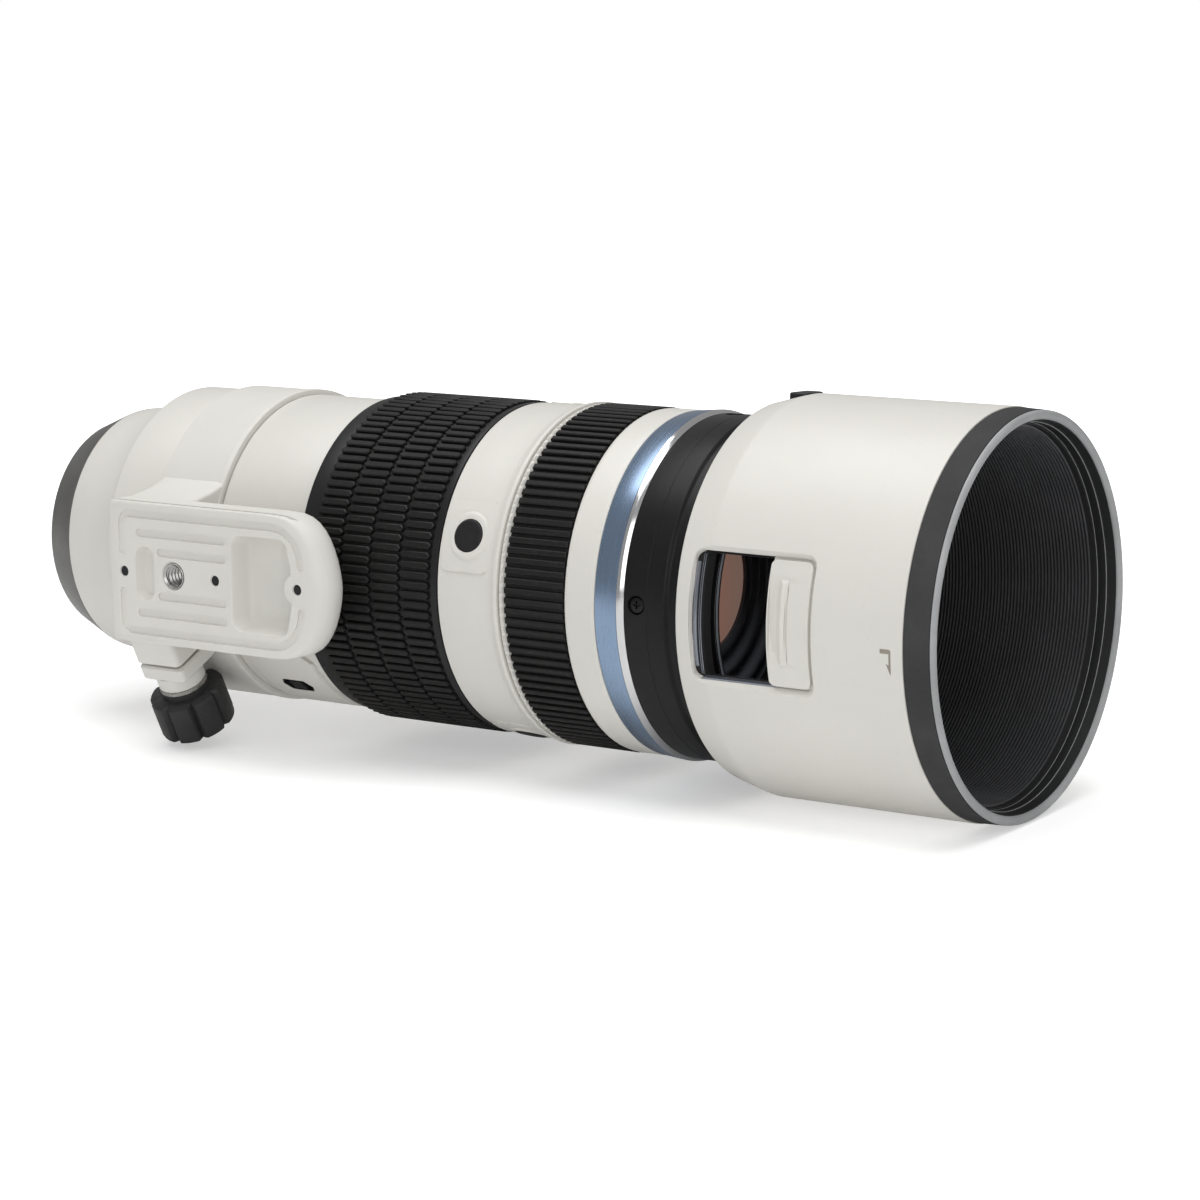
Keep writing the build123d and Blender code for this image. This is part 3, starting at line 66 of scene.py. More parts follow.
# %% [markdown]
# The photograph was taken with a long lens from in front of the hood and a little above. Its place was
# worked out from the ellipses of the rings and from the axis of the barrel. The photograph is a square
# of 1200 pixels, and its focal length is 3500 of them: 105 mm on a sensor 36 mm wide.
# %% The camera
MM = 0.001
eye = Vector((676.3, -757.9, 158.0)) * MM
right = Vector((0.83121, 0.55584, -0.01142))
up = Vector((-0.08952, 0.15408, 0.98398))
back = right.cross(up)
camera_data = bpy.data.cameras.new("camera")
camera_data.lens = 105
camera_data.sensor_width = 36
camera_data.clip_start = 0.05
camera = bpy.data.objects.new("camera", camera_data)
turned = Matrix((right, up, back)).transposed().to_4x4()
camera.matrix_world = Matrix.Translation(eye) @ turned
bpy.context.scene.collection.objects.link(camera)
bpy.context.scene.camera = camera
bpy.context.scene.view_settings.view_transform = "Standard"
print("camera", [round(value, 3) for value in camera.location])

# %% [markdown]
# Shader maths reads best as plain formulas. One small class wraps an output socket: its operators add
# Math nodes, and its method node() adds any other node. Settings come first, because some of them
# change which sockets a node has, and then come the values or links of the sockets.
# %% Shader formulas
class Wire:
    """An output socket of a material, with +, * and ** on its values."""

    def __init__(self, tree, socket=None):
        self.tree, self.socket = tree, socket

    def node(self, kind, settings=None, sockets=None, out=0):
        made = self.tree.nodes.new(kind)
        for key, value in (settings or {}).items():
            setattr(made, key, value)
        for key, value in (sockets or {}).items():
            if isinstance(value, Wire):
                self.tree.links.new(value.socket, made.inputs[key])
            else:
                made.inputs[key].default_value = value
        return Wire(self.tree, made.outputs[out])

    def maths(self, operation, *values):
        return self.node("ShaderNodeMath", {"operation": operation}, dict(enumerate(values)))

    def __add__(self, other): return self.maths("ADD", self, other)
    def __radd__(self, other): return self.maths("ADD", other, self)
    def __mul__(self, other): return self.maths("MULTIPLY", self, other)
    def __rmul__(self, other): return self.maths("MULTIPLY", other, self)
    def __pow__(self, other): return self.maths("POWER", self, other)

    def vector(self, operation, other, out=0):
        return self.node("ShaderNodeVectorMath", {"operation": operation}, {0: self, 1: other}, out)

    def noise(self, scale, detail=3.0, rough=0.55):
        sockets = {"Vector": self, "Scale": scale, "Detail": detail, "Roughness": rough}
        return self.node("ShaderNodeTexNoise", None, sockets)

    def split(self, axis):
        return self.node("ShaderNodeSeparateXYZ", None, {0: self}, axis)

    def span(self, low, high, new_low=0.0, new_high=1.0):
        values = {"Value": self, "From Min": low, "From Max": high, "To Min": new_low, "To Max": new_high}
        return self.node("ShaderNodeMapRange", {"clamp": True}, values)

    def blend(self, first, second):
        """Colour mix: self is the share of the second colour."""
        first = first if isinstance(first, Wire) else (*first, 1)
        second = second if isinstance(second, Wire) else (*second, 1)
        return self.node("ShaderNodeMix", {"data_type": "RGBA"}, {0: self, 6: first, 7: second}, 2)

    def bump(self, height_mm, strength=1.0):
        sockets = {"Height": self, "Distance": height_mm * MM, "Strength": strength}
        return self.node("ShaderNodeBump", None, sockets)


def start(name):
    """A new material and the wire of its object coordinates, in metres."""
    material = bpy.data.materials.new(name)
    material.use_nodes = True
    material.node_tree.nodes.clear()
    place = Wire(material.node_tree).node("ShaderNodeTexCoord", None, None, 3)
    return material, place


def close(material, place, **sockets):
    """The surface of a material; keywords are the shader's sockets, with _ for a space."""
    named = {key.replace("_", " "): value for key, value in sockets.items()}
    if not isinstance(named["Base Color"], Wire):
        named["Base Color"] = (*named["Base Color"], 1)
    surface = place.node("ShaderNodeBsdfPrincipled", None, named)
    output = material.node_tree.nodes.new("ShaderNodeOutputMaterial")
    material.node_tree.links.new(surface.socket, output.inputs["Surface"])
    return material


# %% [markdown]
# The white shells are metal with a satin paint, a warm off-white. Close up the paint has a fine orange
# peel, and its colour drifts a little. Handling leaves the faintest grey in places. A flat colour would
# look like plastic, so colour, roughness and height each get their own noise.
# %% Satin white paint
def white_paint(name, colour, peel_mm, peel_scale, roughness):
    material, place = start(name)
    drift = place.noise(28, 4).span(0.35, 0.65)
    speck = place.noise(900, 2).span(0.62, 0.78)
    tone = drift.blend(colour, tuple(value * 0.965 for value in colour))
    tone = (speck * 0.10).blend(tone, (0.45, 0.43, 0.39))
    peel = place.noise(peel_scale, 2.5, 0.5)
    return close(
        material, place, Base_Color=tone, Roughness=drift.span(0, 1, roughness - 0.04, roughness + 0.05),
        Normal=peel.bump(peel_mm, 0.6), Coat_Weight=0.12, Coat_Roughness=0.25, IOR=1.48,
    )


SHELL_WHITE = (0.70, 0.685, 0.64)
white_shell = white_paint("white_shell", SHELL_WHITE, peel_mm=0.020, peel_scale=1400, roughness=0.42)

# %% [markdown]
# The tripod collar and its foot are one casting under a crinkle paint. Its grain is about a third of a
# millimetre, with rounded tops, which is what a smooth Voronoi pattern gives.
# %% Crinkle paint
def crinkle_paint():
    material, place = start("crinkle_paint")
    grain = place.node(
        "ShaderNodeTexVoronoi", {"feature": "SMOOTH_F1"},
        {"Vector": place, "Scale": 2600.0, "Smoothness": 0.8},
    )
    soft = place.noise(1500, 3)
    drift = place.noise(30, 3).span(0.35, 0.65)
    tone = drift.blend((0.72, 0.71, 0.67), (0.685, 0.672, 0.63))
    height = grain * 0.6 + soft
    return close(
        material, place, Base_Color=tone, Roughness=drift.span(0, 1, 0.46, 0.54),
        Normal=height.bump(0.03, 0.45), IOR=1.48,
    )


crinkle_white = crinkle_paint()

# %% [markdown]
# The black finishes differ mostly in gloss. Rubber is dull with a fine moulded grain and pale dust on
# it, moulded plastic is smoother, and the hood's rim and the front barrel are satin paint on metal.
# %% Black finishes
def black_finish(name, colour, roughness, grain_mm, grain_scale, dust=0.0, metallic=0.0, gloss=0.32):
    material, place = start(name)
    grain = place.noise(grain_scale, 3)
    wide = place.noise(60, 4).span(0.4, 0.7)
    tone = wide.blend(colour, tuple(value * 1.25 for value in colour))
    tone = (place.noise(700, 3).span(0.55, 0.75) * dust).blend(tone, (0.16, 0.155, 0.15))
    return close(
        material, place, Base_Color=tone,
        Roughness=grain.span(0.3, 0.7, roughness - 0.05, roughness + 0.07),
        Normal=grain.bump(grain_mm, 0.5), Metallic=metallic, Specular_IOR_Level=gloss,
    )


grip_rubber = black_finish("grip_rubber", (0.0095, 0.009, 0.0088), 0.50, 0.012, 1800, 0.06, gloss=0.27)
black_plastic = black_finish("black_plastic", (0.012, 0.012, 0.0124), 0.38, 0.008, 2200, 0.03, gloss=0.28)
black_metal = black_finish("black_metal", (0.009, 0.009, 0.0093), 0.36, 0.006, 2600, 0.02, gloss=0.2)
rim_black = black_finish("rim_black", (0.046, 0.046, 0.047), 0.70, 0.008, 2400, 0.04, gloss=0.12)
knob_black = black_finish("knob_black", (0.028, 0.028, 0.029), 0.48, 0.012, 2000, 0.06)
button_rubber = black_finish("button_rubber", (0.010, 0.010, 0.0108), 0.55, 0.012, 1700, 0.04)
lining_black = black_finish("lining_black", (0.013, 0.0135, 0.014), 0.50, 0.004, 2600, 0.02)
cover_dark = black_finish("cover_dark", (0.15, 0.148, 0.142), 0.36, 0.004, 2000, 0.0, 0.6, 0.5)
rib_grey = black_finish("rib_grey", (0.075, 0.076, 0.080), 0.45, 0.002, 2600, 0.0)
# A pale blue-grey finish for the filter thread's front edge: a painted highlight line.
painted_highlight_grey = black_finish("painted_highlight_grey", (0.19, 0.205, 0.23), 0.35, 0.002, 2400, 0.0, 0.3, 0.5)
rail_grey = black_finish("rail_grey", (0.26, 0.28, 0.32), 0.20, 0.002, 2400, 0.0, 0.7, 0.6)
lip_grey = black_finish("lip_grey", (0.33, 0.335, 0.34), 0.45, 0.004, 2400, 0.0, 0.0, 0.4)

# %% [markdown]
# Turned metal reflects light along its ring. The marks of the tool run round the axis, so the noise is
# stretched: it changes fast along X and slowly across, and it moves roughness and height.
# %% Turned metals
MARKS_ALONG, MARKS_ACROSS = 4200.0, 30.0


def turned_metal(name, colour, roughness, mark_mm=0.0015):
    material, place = start(name)
    marks = place.vector("MULTIPLY", (MARKS_ALONG, MARKS_ACROSS, MARKS_ACROSS)).noise(1.0, 2)
    stain = place.noise(90, 4).span(0.35, 0.7)
    tone = stain.blend(colour, tuple(value * 0.9 for value in colour))
    return close(
        material, place, Base_Color=tone, Metallic=1.0,
        Roughness=marks.span(0.3, 0.7, roughness * 0.8, roughness * 1.25),
        Normal=marks.bump(mark_mm, 0.5),
    )


blue_metal = turned_metal("blue_metal", (0.31, 0.42, 0.59), 0.25)
polished_metal = turned_metal("polished_metal", (0.80, 0.80, 0.81), 0.13, 0.0008)
mount_steel = turned_metal("mount_steel", (0.62, 0.61, 0.59), 0.22)
screw_steel = turned_metal("screw_steel", (0.50, 0.49, 0.47), 0.28)
dark_screw = turned_metal("dark_screw", (0.035, 0.035, 0.036), 0.34)
gold_plate = turned_metal("gold_plate", (0.83, 0.60, 0.25), 0.22)

# %% [markdown]
# The front glass is mostly see-through. Behind it, a lens and a stepped black baffle glow a little in
# copper and in faint bluish rings: painted reflections, which stand in for the light that the glasses
# throw back inside the lens.
# %% Glass, painted reflections and the circuit board
def clear_front():
    """The front glass: mostly see-through, with a bluish film and sharp reflections."""
    material, place = start("clear_front")
    film = place.noise(40, 2).span(0.3, 0.7).blend((0.010, 0.013, 0.026), (0.020, 0.018, 0.014))
    return close(
        material, place, Base_Color=film, Roughness=0.04, Alpha=0.20,
        Coat_Weight=1.0, Coat_Roughness=0.02,
    )


def painted_copper_reflection():
    """A lens surface with a copper glow: a painted reflection of the light that the glasses throw back.
    """
    material, place = start("copper_reflection_glow")
    # The copper glow is a painted reflection, redder towards -Y.
    share = place.split(1).span(-0.017, 0.012)
    tone = share.blend((0.44, 0.165, 0.115), (0.27, 0.17, 0.135))
    return close(
        material, place, Base_Color=(0.10, 0.05, 0.04), Roughness=0.2,
        Emission_Color=tone, Emission_Strength=0.86,
    )


def baffle_paint():
    """Black paint whose lower side has faint bluish rings, the reflections of lens edges."""
    material, place = start("baffle_black")
    across, height = place.split(1), place.split(2)
    radius = (across * across + height * height) ** 0.5
    rings = radius.maths("SINE", radius * 1150.0).span(-0.9, 1.0)
    low_side = (height * -1.0).span(0.006, 0.026)
    tone = (rings * low_side).blend((0, 0, 0), (0.034, 0.036, 0.040))
    return close(
        material, place, Base_Color=(0.018, 0.019, 0.024), Roughness=0.30,
        Emission_Color=tone, Emission_Strength=1.0,
    )


front_glass_clear = clear_front()
copper_reflection_glow = painted_copper_reflection()
baffle_black = baffle_paint()


def circuit_green():
    material, place = start("circuit_green")
    pattern = {"Vector": place, "Scale": 240.0, "Mortar Size": 0.03}
    tracks = place.node("ShaderNodeTexBrick", None, pattern, 1)
    tone = tracks.blend((0.015, 0.09, 0.035), (0.05, 0.20, 0.09))
    return close(material, place, Base_Color=tone, Roughness=place.noise(400).span(0, 1, 0.3, 0.45))


board_green = circuit_green()
print("materials", len(bpy.data.materials))

# %% [markdown]
# Nearly every outer piece was turned on a lathe, so one helper does most of the work. It takes a closed
# outline of (station, radius) points in millimetres, rounds its corners, and spins it round the axis. A
# rounded corner catches a thin line of light, and a sharp one never does.
# %% Outlines
def rounded(outline, size, steps=3):
    """The outline with each corner turned into an arc of about this size."""
    done = []
    count = len(outline)
    for index, point in enumerate(outline):
        here, before, after = (Vector(outline[i % count][:2]) for i in (index, index - 1, index + 1))
        first, second = before - here, after - here
        reach = min(point[2] if len(point) > 2 else size, first.length * 0.45, second.length * 0.45)
        turn = first.angle(second, pi)
        if reach < 0.01 or turn > radians(172):
            done.append(tuple(here))
            continue
        start_at, end_at = here + first.normalized() * reach, here + second.normalized() * reach
        for step in range(steps + 1):
            t = step / steps
            spot = start_at * (1 - t) ** 2 + here * 2 * t * (1 - t) + end_at * t ** 2
            done.append(tuple(spot))
    return done


def arc(first, last, bulge, steps=10):
    """Points from first to last on a shallow arc that stands bulge mm off the straight line."""
    a, b = Vector(first), Vector(last)
    side = Vector((-(b - a).y, (b - a).x)).normalized()
    shares = [step / steps for step in range(steps + 1)]
    return [tuple(a.lerp(b, share) + side * bulge * 4 * share * (1 - share)) for share in shares]


def outward(angle):
    """Unit vector away from the axis; angles start at the foot and grow towards +Z."""
    return Vector((0, -cos(radians(angle)), sin(radians(angle))))


# %% [markdown]
# A mesh is made from points and faces, with its normals worked out afterwards: bmesh does that for any
# closed shape. Smooth shading comes with a sharp edge wherever two faces meet at more than 32 degrees.
# %% Meshes
def shape(name, points, faces, material, smooth=32):
    mesh = bpy.data.meshes.new(name)
    mesh.from_pydata([tuple(Vector(p) * MM) for p in points], [], faces)
    work = bmesh.new()
    work.from_mesh(mesh)
    bmesh.ops.remove_doubles(work, verts=work.verts, dist=0.000002)
    bmesh.ops.recalc_face_normals(work, faces=work.faces)
    work.to_mesh(mesh)
    work.free()
    mesh.shade_smooth()
    mesh.set_sharp_from_angle(angle=radians(smooth))
    made = bpy.data.objects.new(name, mesh)
    bpy.context.scene.collection.objects.link(made)
    if material:
        mesh.materials.append(material)
    return made


def lathe(name, outline, material, size=0.3, segments=256, smooth=32):
    """A closed outline of (station, radius) points spun round the axis."""
    ring = rounded(outline, size) if size else [p[:2] for p in outline]
    points, faces, count = [], [], len(ring)
    for step in range(segments):
        away = outward(360 * step / segments)
        points += [(x, away.y * r, away.z * r) for x, r in ring]
    for step in range(segments):
        here, there = step * count, (step + 1) % segments * count
        for i in range(count):
            j = (i + 1) % count
            faces.append((here + i, here + j, there + j, there + i))
    return shape(name, points, faces, material, smooth)


def tower(name, levels, place, material=None, smooth=32):
    """Outlines of equal count stacked at levels; place() puts (u, v, w) in the lens frame."""
    points, faces, count = [], [], len(levels[0][1])
    for w, outline in levels:
        points += [tuple(place(u, v, w)) for u, v in outline]
    for level in range(len(levels) - 1):
        low, high = level * count, (level + 1) * count
        for i in range(count):
            j = (i + 1) % count
            faces.append((low + i, low + j, high + j, high + i))
    faces += [tuple(range(count)), tuple(range(len(points) - count, len(points)))]
    return shape(name, points, faces, material, smooth)


def box_outline(length, width, corner, steps=6, middle=(0, 0)):
    """Corners of a rounded rectangle, counterclockwise."""
    found = []
    for quarter, (sx, sy) in enumerate(((1, 1), (-1, 1), (-1, -1), (1, -1))):
        for step in range(steps + 1):
            turn = pi / 2 * (quarter + step / steps)
            found.append((
                middle[0] + sx * (length / 2 - corner) + corner * cos(turn),
                middle[1] + sy * (width / 2 - corner) + corner * sin(turn),
            ))
    return found


def circle(radius, steps=48):
    turns = [tau * step / steps for step in range(steps)]
    return [(radius * cos(turn), radius * sin(turn)) for turn in turns]


def prism(name, outline, low, high, place, material=None):
    """The same outline at two levels."""
    return tower(name, [(low, outline), (high, outline)], place, material)


def post(name, levels, place, material=None, smooth=32, steps=48):
    """Circles stacked at levels, each a height and a radius."""
    return tower(name, [(w, circle(radius, steps)) for w, radius in levels], place, material, smooth)


def on_barrel(station, angle):
    """Places (along, around, radius) straight out from the barrel at one angle."""
    away = outward(angle)
    around = Vector((0, sin(radians(angle)), cos(radians(angle))))
    return lambda u, v, w: Vector((station + u, 0, 0)) + around * v + away * w


def wrapped(station, angle, radius):
    """Places (along, arc length, radius) bent round the barrel."""
    return lambda u, v, w: Vector((station + u, 0, 0)) + outward(angle + v / radius * 180 / pi) * w


# %% [markdown]
# Holes and pockets are cut with a Boolean, and the result is stored as a plain mesh. The modifier is
# gone before a piece is handed over, because the frame may only carry finished meshes.
# %% Cutting and joining
def settle(piece, smooth=32):
    """Applies the modifiers of a piece."""
    bpy.context.view_layer.update()
    graph = bpy.context.evaluated_depsgraph_get()
    mesh = bpy.data.meshes.new_from_object(piece.evaluated_get(graph))
    piece.modifiers.clear()
    piece.data = mesh
    mesh.shade_smooth()
    mesh.set_sharp_from_angle(angle=radians(smooth))
    return piece


def carve(piece, cutters, operation="DIFFERENCE", smooth=32):
    for cutter in cutters:
        tool = piece.modifiers.new("carve", "BOOLEAN")
        tool.operation, tool.solver, tool.object = operation, "EXACT", cutter
        settle(piece, smooth)
        bpy.data.objects.remove(cutter)
    return piece


def join(name, pieces):
    """One object out of several, each keeping its own material."""
    graph_mesh = bpy.data.meshes.new(name)
    work = bmesh.new()
    materials = []
    for piece in pieces:
        before = len(work.faces)
        work.from_mesh(piece.data)
        work.faces.ensure_lookup_table()
        for material in piece.data.materials:
            if material not in materials:
                materials.append(material)
        own = [materials.index(material) for material in piece.data.materials]
        for face in work.faces[before:]:
            face.material_index = own[face.material_index] if own else 0
    work.to_mesh(graph_mesh)
    work.free()
    for material in materials:
        graph_mesh.materials.append(material)
    for piece in pieces:
        bpy.data.objects.remove(piece)
    made = bpy.data.objects.new(name, graph_mesh)
    bpy.context.scene.collection.objects.link(made)
    graph_mesh.set_sharp_from_angle(angle=radians(32))
    return made


def hand_over(piece, body, slot, *stands_for):
    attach(piece, body)
    if stands_for:
        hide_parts(*stands_for)
    print(piece.name, len(piece.data.polygons), "faces")


# %% [markdown]
# Bricks, ribs, teeth and screws repeat round the axis. Geometry Nodes place them: a Points node makes
# one point for each copy, the index gives its column and its step round the ring, and each copy of the
# little piece is turned about X. The bands may be shifted by a share of a step, as bricks in a wall are.
# %% Repeats round the axis
def ring_tree():
    tree = bpy.data.node_groups.new("ring_of_copies", "GeometryNodeTree")
    sockets = (
        ("Base", "NodeSocketGeometry", None), ("Piece", "NodeSocketObject", None),
        ("Columns", "NodeSocketInt", 1), ("Count", "NodeSocketInt", 8),
        ("Pitch", "NodeSocketFloat", 0.01), ("Stagger", "NodeSocketFloat", 0.0),
        ("Finish", "NodeSocketMaterial", None),
    )
    for label, kind, value in sockets:
        made = tree.interface.new_socket(label, in_out="INPUT", socket_type=kind)
        if value is not None:
            made.default_value = value
    tree.interface.new_socket("Geometry", in_out="OUTPUT", socket_type="NodeSocketGeometry")
    given, result = tree.nodes.new("NodeGroupInput"), tree.nodes.new("NodeGroupOutput")

    def add(kind, inputs, **settings):
        node = tree.nodes.new(kind)
        for key, value in settings.items():
            setattr(node, key, value)
        for key, value in inputs.items():
            if isinstance(value, bpy.types.NodeSocket):
                tree.links.new(value, node.inputs[key])
            else:
                node.inputs[key].default_value = value
        return node.outputs[0]

    def maths(operation, first, second):
        return add("ShaderNodeMath", {0: first, 1: second}, operation=operation)

    take = {socket.name: socket for socket in given.outputs}
    total = maths("MULTIPLY", take["Columns"], take["Count"])
    index = add("GeometryNodeInputIndex", {})
    column = maths("FLOOR", maths("DIVIDE", maths("ADD", index, 0.5), take["Count"]), 0.0)
    shift = maths("MULTIPLY", maths("MODULO", column, 2.0), take["Stagger"])
    turn = maths("MULTIPLY", maths("DIVIDE", maths("ADD", index, shift), take["Count"]), tau)
    along = add("ShaderNodeCombineXYZ", {0: maths("MULTIPLY", column, take["Pitch"])})
    spin = add("ShaderNodeCombineXYZ", {0: turn})
    points = add("GeometryNodePoints", {"Count": total, "Position": along})
    little = tree.nodes.new("GeometryNodeObjectInfo")
    tree.links.new(take["Piece"], little.inputs["Object"])
    copies = add("GeometryNodeInstanceOnPoints", {
        "Points": points, "Instance": little.outputs["Geometry"], "Rotation": spin,
    })
    real = add("GeometryNodeRealizeInstances", {"Geometry": copies})
    dressed = add("GeometryNodeSetMaterial", {"Geometry": real, "Material": take["Finish"]})
    both = tree.nodes.new("GeometryNodeJoinGeometry")
    tree.links.new(dressed, both.inputs[0])
    tree.links.new(take["Base"], both.inputs[0])
    tree.links.new(both.outputs[0], result.inputs[0])
    return tree


copies_tree = ring_tree()


def repeated(base, little, material, count, columns=1, pitch_mm=0.0, stagger=0.0):
    """Copies of a little piece round the axis, joined to a base piece."""
    tool = base.modifiers.new("copies", "NODES")
    tool.node_group = copies_tree
    wanted = {
        "Piece": little, "Columns": columns, "Count": count, "Pitch": pitch_mm * MM, "Stagger": stagger,
        "Finish": material,
    }
    for item in copies_tree.interface.items_tree:
        if item.name in wanted and item.in_out == "INPUT":
            tool[item.identifier] = wanted[item.name]
    settle(base)
    bpy.data.objects.remove(little)


def block(name, station, length, width, root, crest, inset, point=0.0):
    """A little block at the foot's side of the ring, with a smaller top and maybe pointed ends."""
    points, faces = [], []
    for radius, less in ((root, 0), (crest - inset * 0.6, inset * 0.25), (crest, inset)):
        for u, v in ((0, -1), (1, -1), (1, 0), (1, 1), (0, 1), (0, 0)):
            half = width / 2 - less
            tip = point if v == 0 else 0
            x = station + (less - tip if u == 0 else length - less + tip)
            points.append((x, -sqrt(radius ** 2 - (v * half) ** 2), v * half))
    for low, high in ((0, 6), (6, 12)):
        faces += [(low + i, low + (i + 1) % 6, high + (i + 1) % 6, high + i) for i in range(6)]
    faces += [(0, 1, 2, 5), (5, 2, 3, 4), (12, 13, 14, 17), (17, 14, 15, 16)]
    return shape(name, points, faces, None)


# %% [markdown]
# The back of the lens: a dark ring covers the flange, then come a flat band, a hollow waist, a small step
# and the turned seat that the tripod collar turns on. All of it is lathe work.
# %% Rear shells
cover = lathe("rear_cover", [
    (0, 28.68), (0, 30.1, 0.5), (10.8, 34.6), (10.8, 29.24), (2.5, 29.24), (2.5, 28.68),
], cover_dark)
hand_over(cover, "barrel", "dark_ring", "mount_cover")
waist = arc((17.2, 35.4), (31.0, 39.4), -0.58)
rear = lathe("rear_body", [(10.84, 34.6, 0.25)] + waist + [
    (31.0, 40.9, 0.15), (32.1, 42.0, 0.3), (48.2, 42.0), (48.2, 40.6), (70.8, 40.6), (70.8, 38.64),
    (32.1, 38.64), (24.1, 35.4), (17.2, 33.4), (10.84, 32.6),
], white_shell)
hand_over(rear, "barrel", "white_shell", "rear_shell")

# %% [markdown]
# The switch section is a plain drum with a raised panel. A panel that wraps round a drum is the overlap
# of a thin ring and a tower whose sides point at the axis. Each switch slides in a six-sided window
# with a black well behind it, and its slider has three small ridges for the finger.
# %% Switch section
SWITCH_X, SWITCH_ANGLE, SWITCH_STEP = 85.2, -80, 27.5
HEXAGON_LENGTH, HEXAGON_HALF = 4.2, 3.1
drum = lathe("switch_body", [
    (70.8, 38.64), (70.8, 42.0, 0.4), (99.6, 42.0, 0.2), (99.6, 38.64), (97.6, 38.64), (97.6, 40.0),
    (72.8, 40.0), (72.8, 38.64),
], white_shell)
panel = lathe("panel", [(73.2, 41.0), (74.6, 43.0, 1.0), (96.2, 43.0, 0.6), (97.4, 41.0)], white_shell)
outline = box_outline(24.4, 73.0, 9.0, 8)
carve(panel, [prism("keep", outline, 8, 90, wrapped(SWITCH_X, SWITCH_ANGLE, 43))], "INTERSECT")
HEXAGON = [(-5.2, 0), (-3.6, 3.1), (3.6, 3.1), (5.2, 0), (3.6, -3.1), (-3.6, -3.1)]


def hexagon(less):
    """The window's outline, smaller by less on every side, with eased corners."""
    narrower, lower = 1 - less / HEXAGON_LENGTH, 1 - less / HEXAGON_HALF
    return rounded([(u * narrower, v * lower) for u, v in HEXAGON], 0.5)


switches = (
    (SWITCH_ANGLE + SWITCH_STEP, "focus_mode_switch", "focus_mode_slider"),
    (SWITCH_ANGLE, "focus_limit_switch", "focus_limit_slider"),
    (SWITCH_ANGLE - SWITCH_STEP, "stabiliser_switch", "stabiliser_slider"),
)
wells = []
for angle, body, node in switches:
    at = on_barrel(SWITCH_X, angle)
    for skin in (drum, panel):
        opening = [(41.02, hexagon(0)), (42.85, hexagon(0)), (43.4, hexagon(-0.5))]
        carve(skin, [tower("opening", opening, at)])
    cup = prism("cup", hexagon(0.03), 41.04, 42.75, at, black_plastic)
    wells.append(carve(cup, [prism("inside", hexagon(0.25), 41.2, 44, at)]))
    slider = [tower("slider", [
        (41.3, box_outline(4.3, 4.0, 0.5, 3)), (42.7, box_outline(4.3, 4.0, 0.5, 3)),
        (42.9, box_outline(3.9, 3.6, 0.4, 3)),
    ], at, black_plastic)]
    for step in (-1.2, 0, 1.2):
        foot, top = box_outline(0.7, 3.2, 0.2, 2, (step, 0)), box_outline(0.35, 2.8, 0.1, 2, (step, 0))
        slider.append(tower("ridge", [(42.8, foot), (43.08, top)], at, black_plastic))
    hand_over(join(node + "_dressed", slider), body, "black_plastic", node)
hand_over(join("switch_section", [drum, panel]), "barrel", "white_shell", "switch_shell")
hand_over(join("switch_wells", wells), "barrel", "black_plastic")

# %% [markdown]
# The zoom ring is black plastic with a rubber sleeve. The sleeve's bricks stand in four rows, and every
# second row is half a brick further round, which Geometry Nodes gets from the Stagger input. Their ends
# are pointed, so that the joint between two rows runs in a zigzag.
# %% Zoom ring and its grip
zoom = lathe("zoom_ring_body", [
    (99.9, 38.68), (99.9, 43.3, 0.5), (105.0, 43.3, 0.2), (105.0, 42.3), (144.0, 42.3),
    (144.0, 44.2, 0.3), (146.1, 44.2, 0.3), (146.1, 38.68), (144.1, 38.68), (144.1, 41.3),
    (101.9, 41.3), (101.9, 38.68),
], black_plastic)
hand_over(zoom, "zoom", "black_plastic", "zoom_ring")
sleeve = lathe("zoom_sleeve", [
    (105.04, 42.34), (105.04, 43.6), (143.96, 43.6), (143.96, 42.34),
], grip_rubber, 0.15)
brick = block("brick", 105.85, 8.3, 1.95, 43.5, 44.72, 0.38, 0.7)
repeated(sleeve, brick, grip_rubber, 106, columns=4, pitch_mm=9.62, stagger=0.5)
hand_over(sleeve, "zoom", "grip_rubber", "zoom_grip")

# %% [markdown]
# The function section flares towards the focus ring. Four buttons sit in low round collars at quarter
# turns. A button is a stack of circles that ends in a shallow dome.
# %% Function section
BUTTON_X, BUTTON_HOLE_R = 154.99, 4.42
flare = [
    (157.5, 44.2), (160.6, 44.3), (162.6, 44.55), (163.8, 44.95), (164.5, 45.35), (165.1, 45.6),
    (165.7, 45.6),
]
section = lathe("function_body", [(146.4, 38.64), (146.4, 44.2, 0.4)] + flare + [
    (165.98, 45.4), (165.98, 38.64), (163.98, 38.64), (163.98, 42.2), (148.4, 42.2), (148.4, 38.64),
], white_shell)
collars = []
pads = []
ground = box_outline(15.2, 19.0, 2.4, 5, (-0.05, 0))


def button_hole(place, low=36):
    return post("hole", [(low, BUTTON_HOLE_R), (50, BUTTON_HOLE_R)], place)


for number, angle in enumerate((20, 110, 200, 290), start=1):
    at = on_barrel(BUTTON_X, angle)
    collar = post("collar", [
        (42.4, 6.5), (43.95, 6.5), (44.3, 6.2), (44.48, 5.8), (44.55, 5.4), (44.52, 4.9),
    ], at, white_shell)
    collars.append(carve(collar, [button_hole(at, 38)]))
    carve(section, [button_hole(at)])
    pad = lathe("pad", [
        (147.3, 43.0), (147.3, 44.5, 0.1), (163.5, 44.5), (163.5, 43.0),
    ], white_shell, 0.1)
    carve(pad, [prism("keep", ground, 8, 90, wrapped(BUTTON_X, angle, 44.4))], "INTERSECT")
    pads.append(carve(pad, [button_hole(at)]))
    button = post("button_%d" % number, [
        (41.5, 4.3), (44.45, 4.3), (44.68, 4.15), (44.8, 3.8), (44.83, 3.2), (44.80, 2.0), (44.79, 0.8),
    ], at, button_rubber, 50)
    hand_over(button, "function_key_%d" % number, "button_rubber", "function_button_%d" % number)
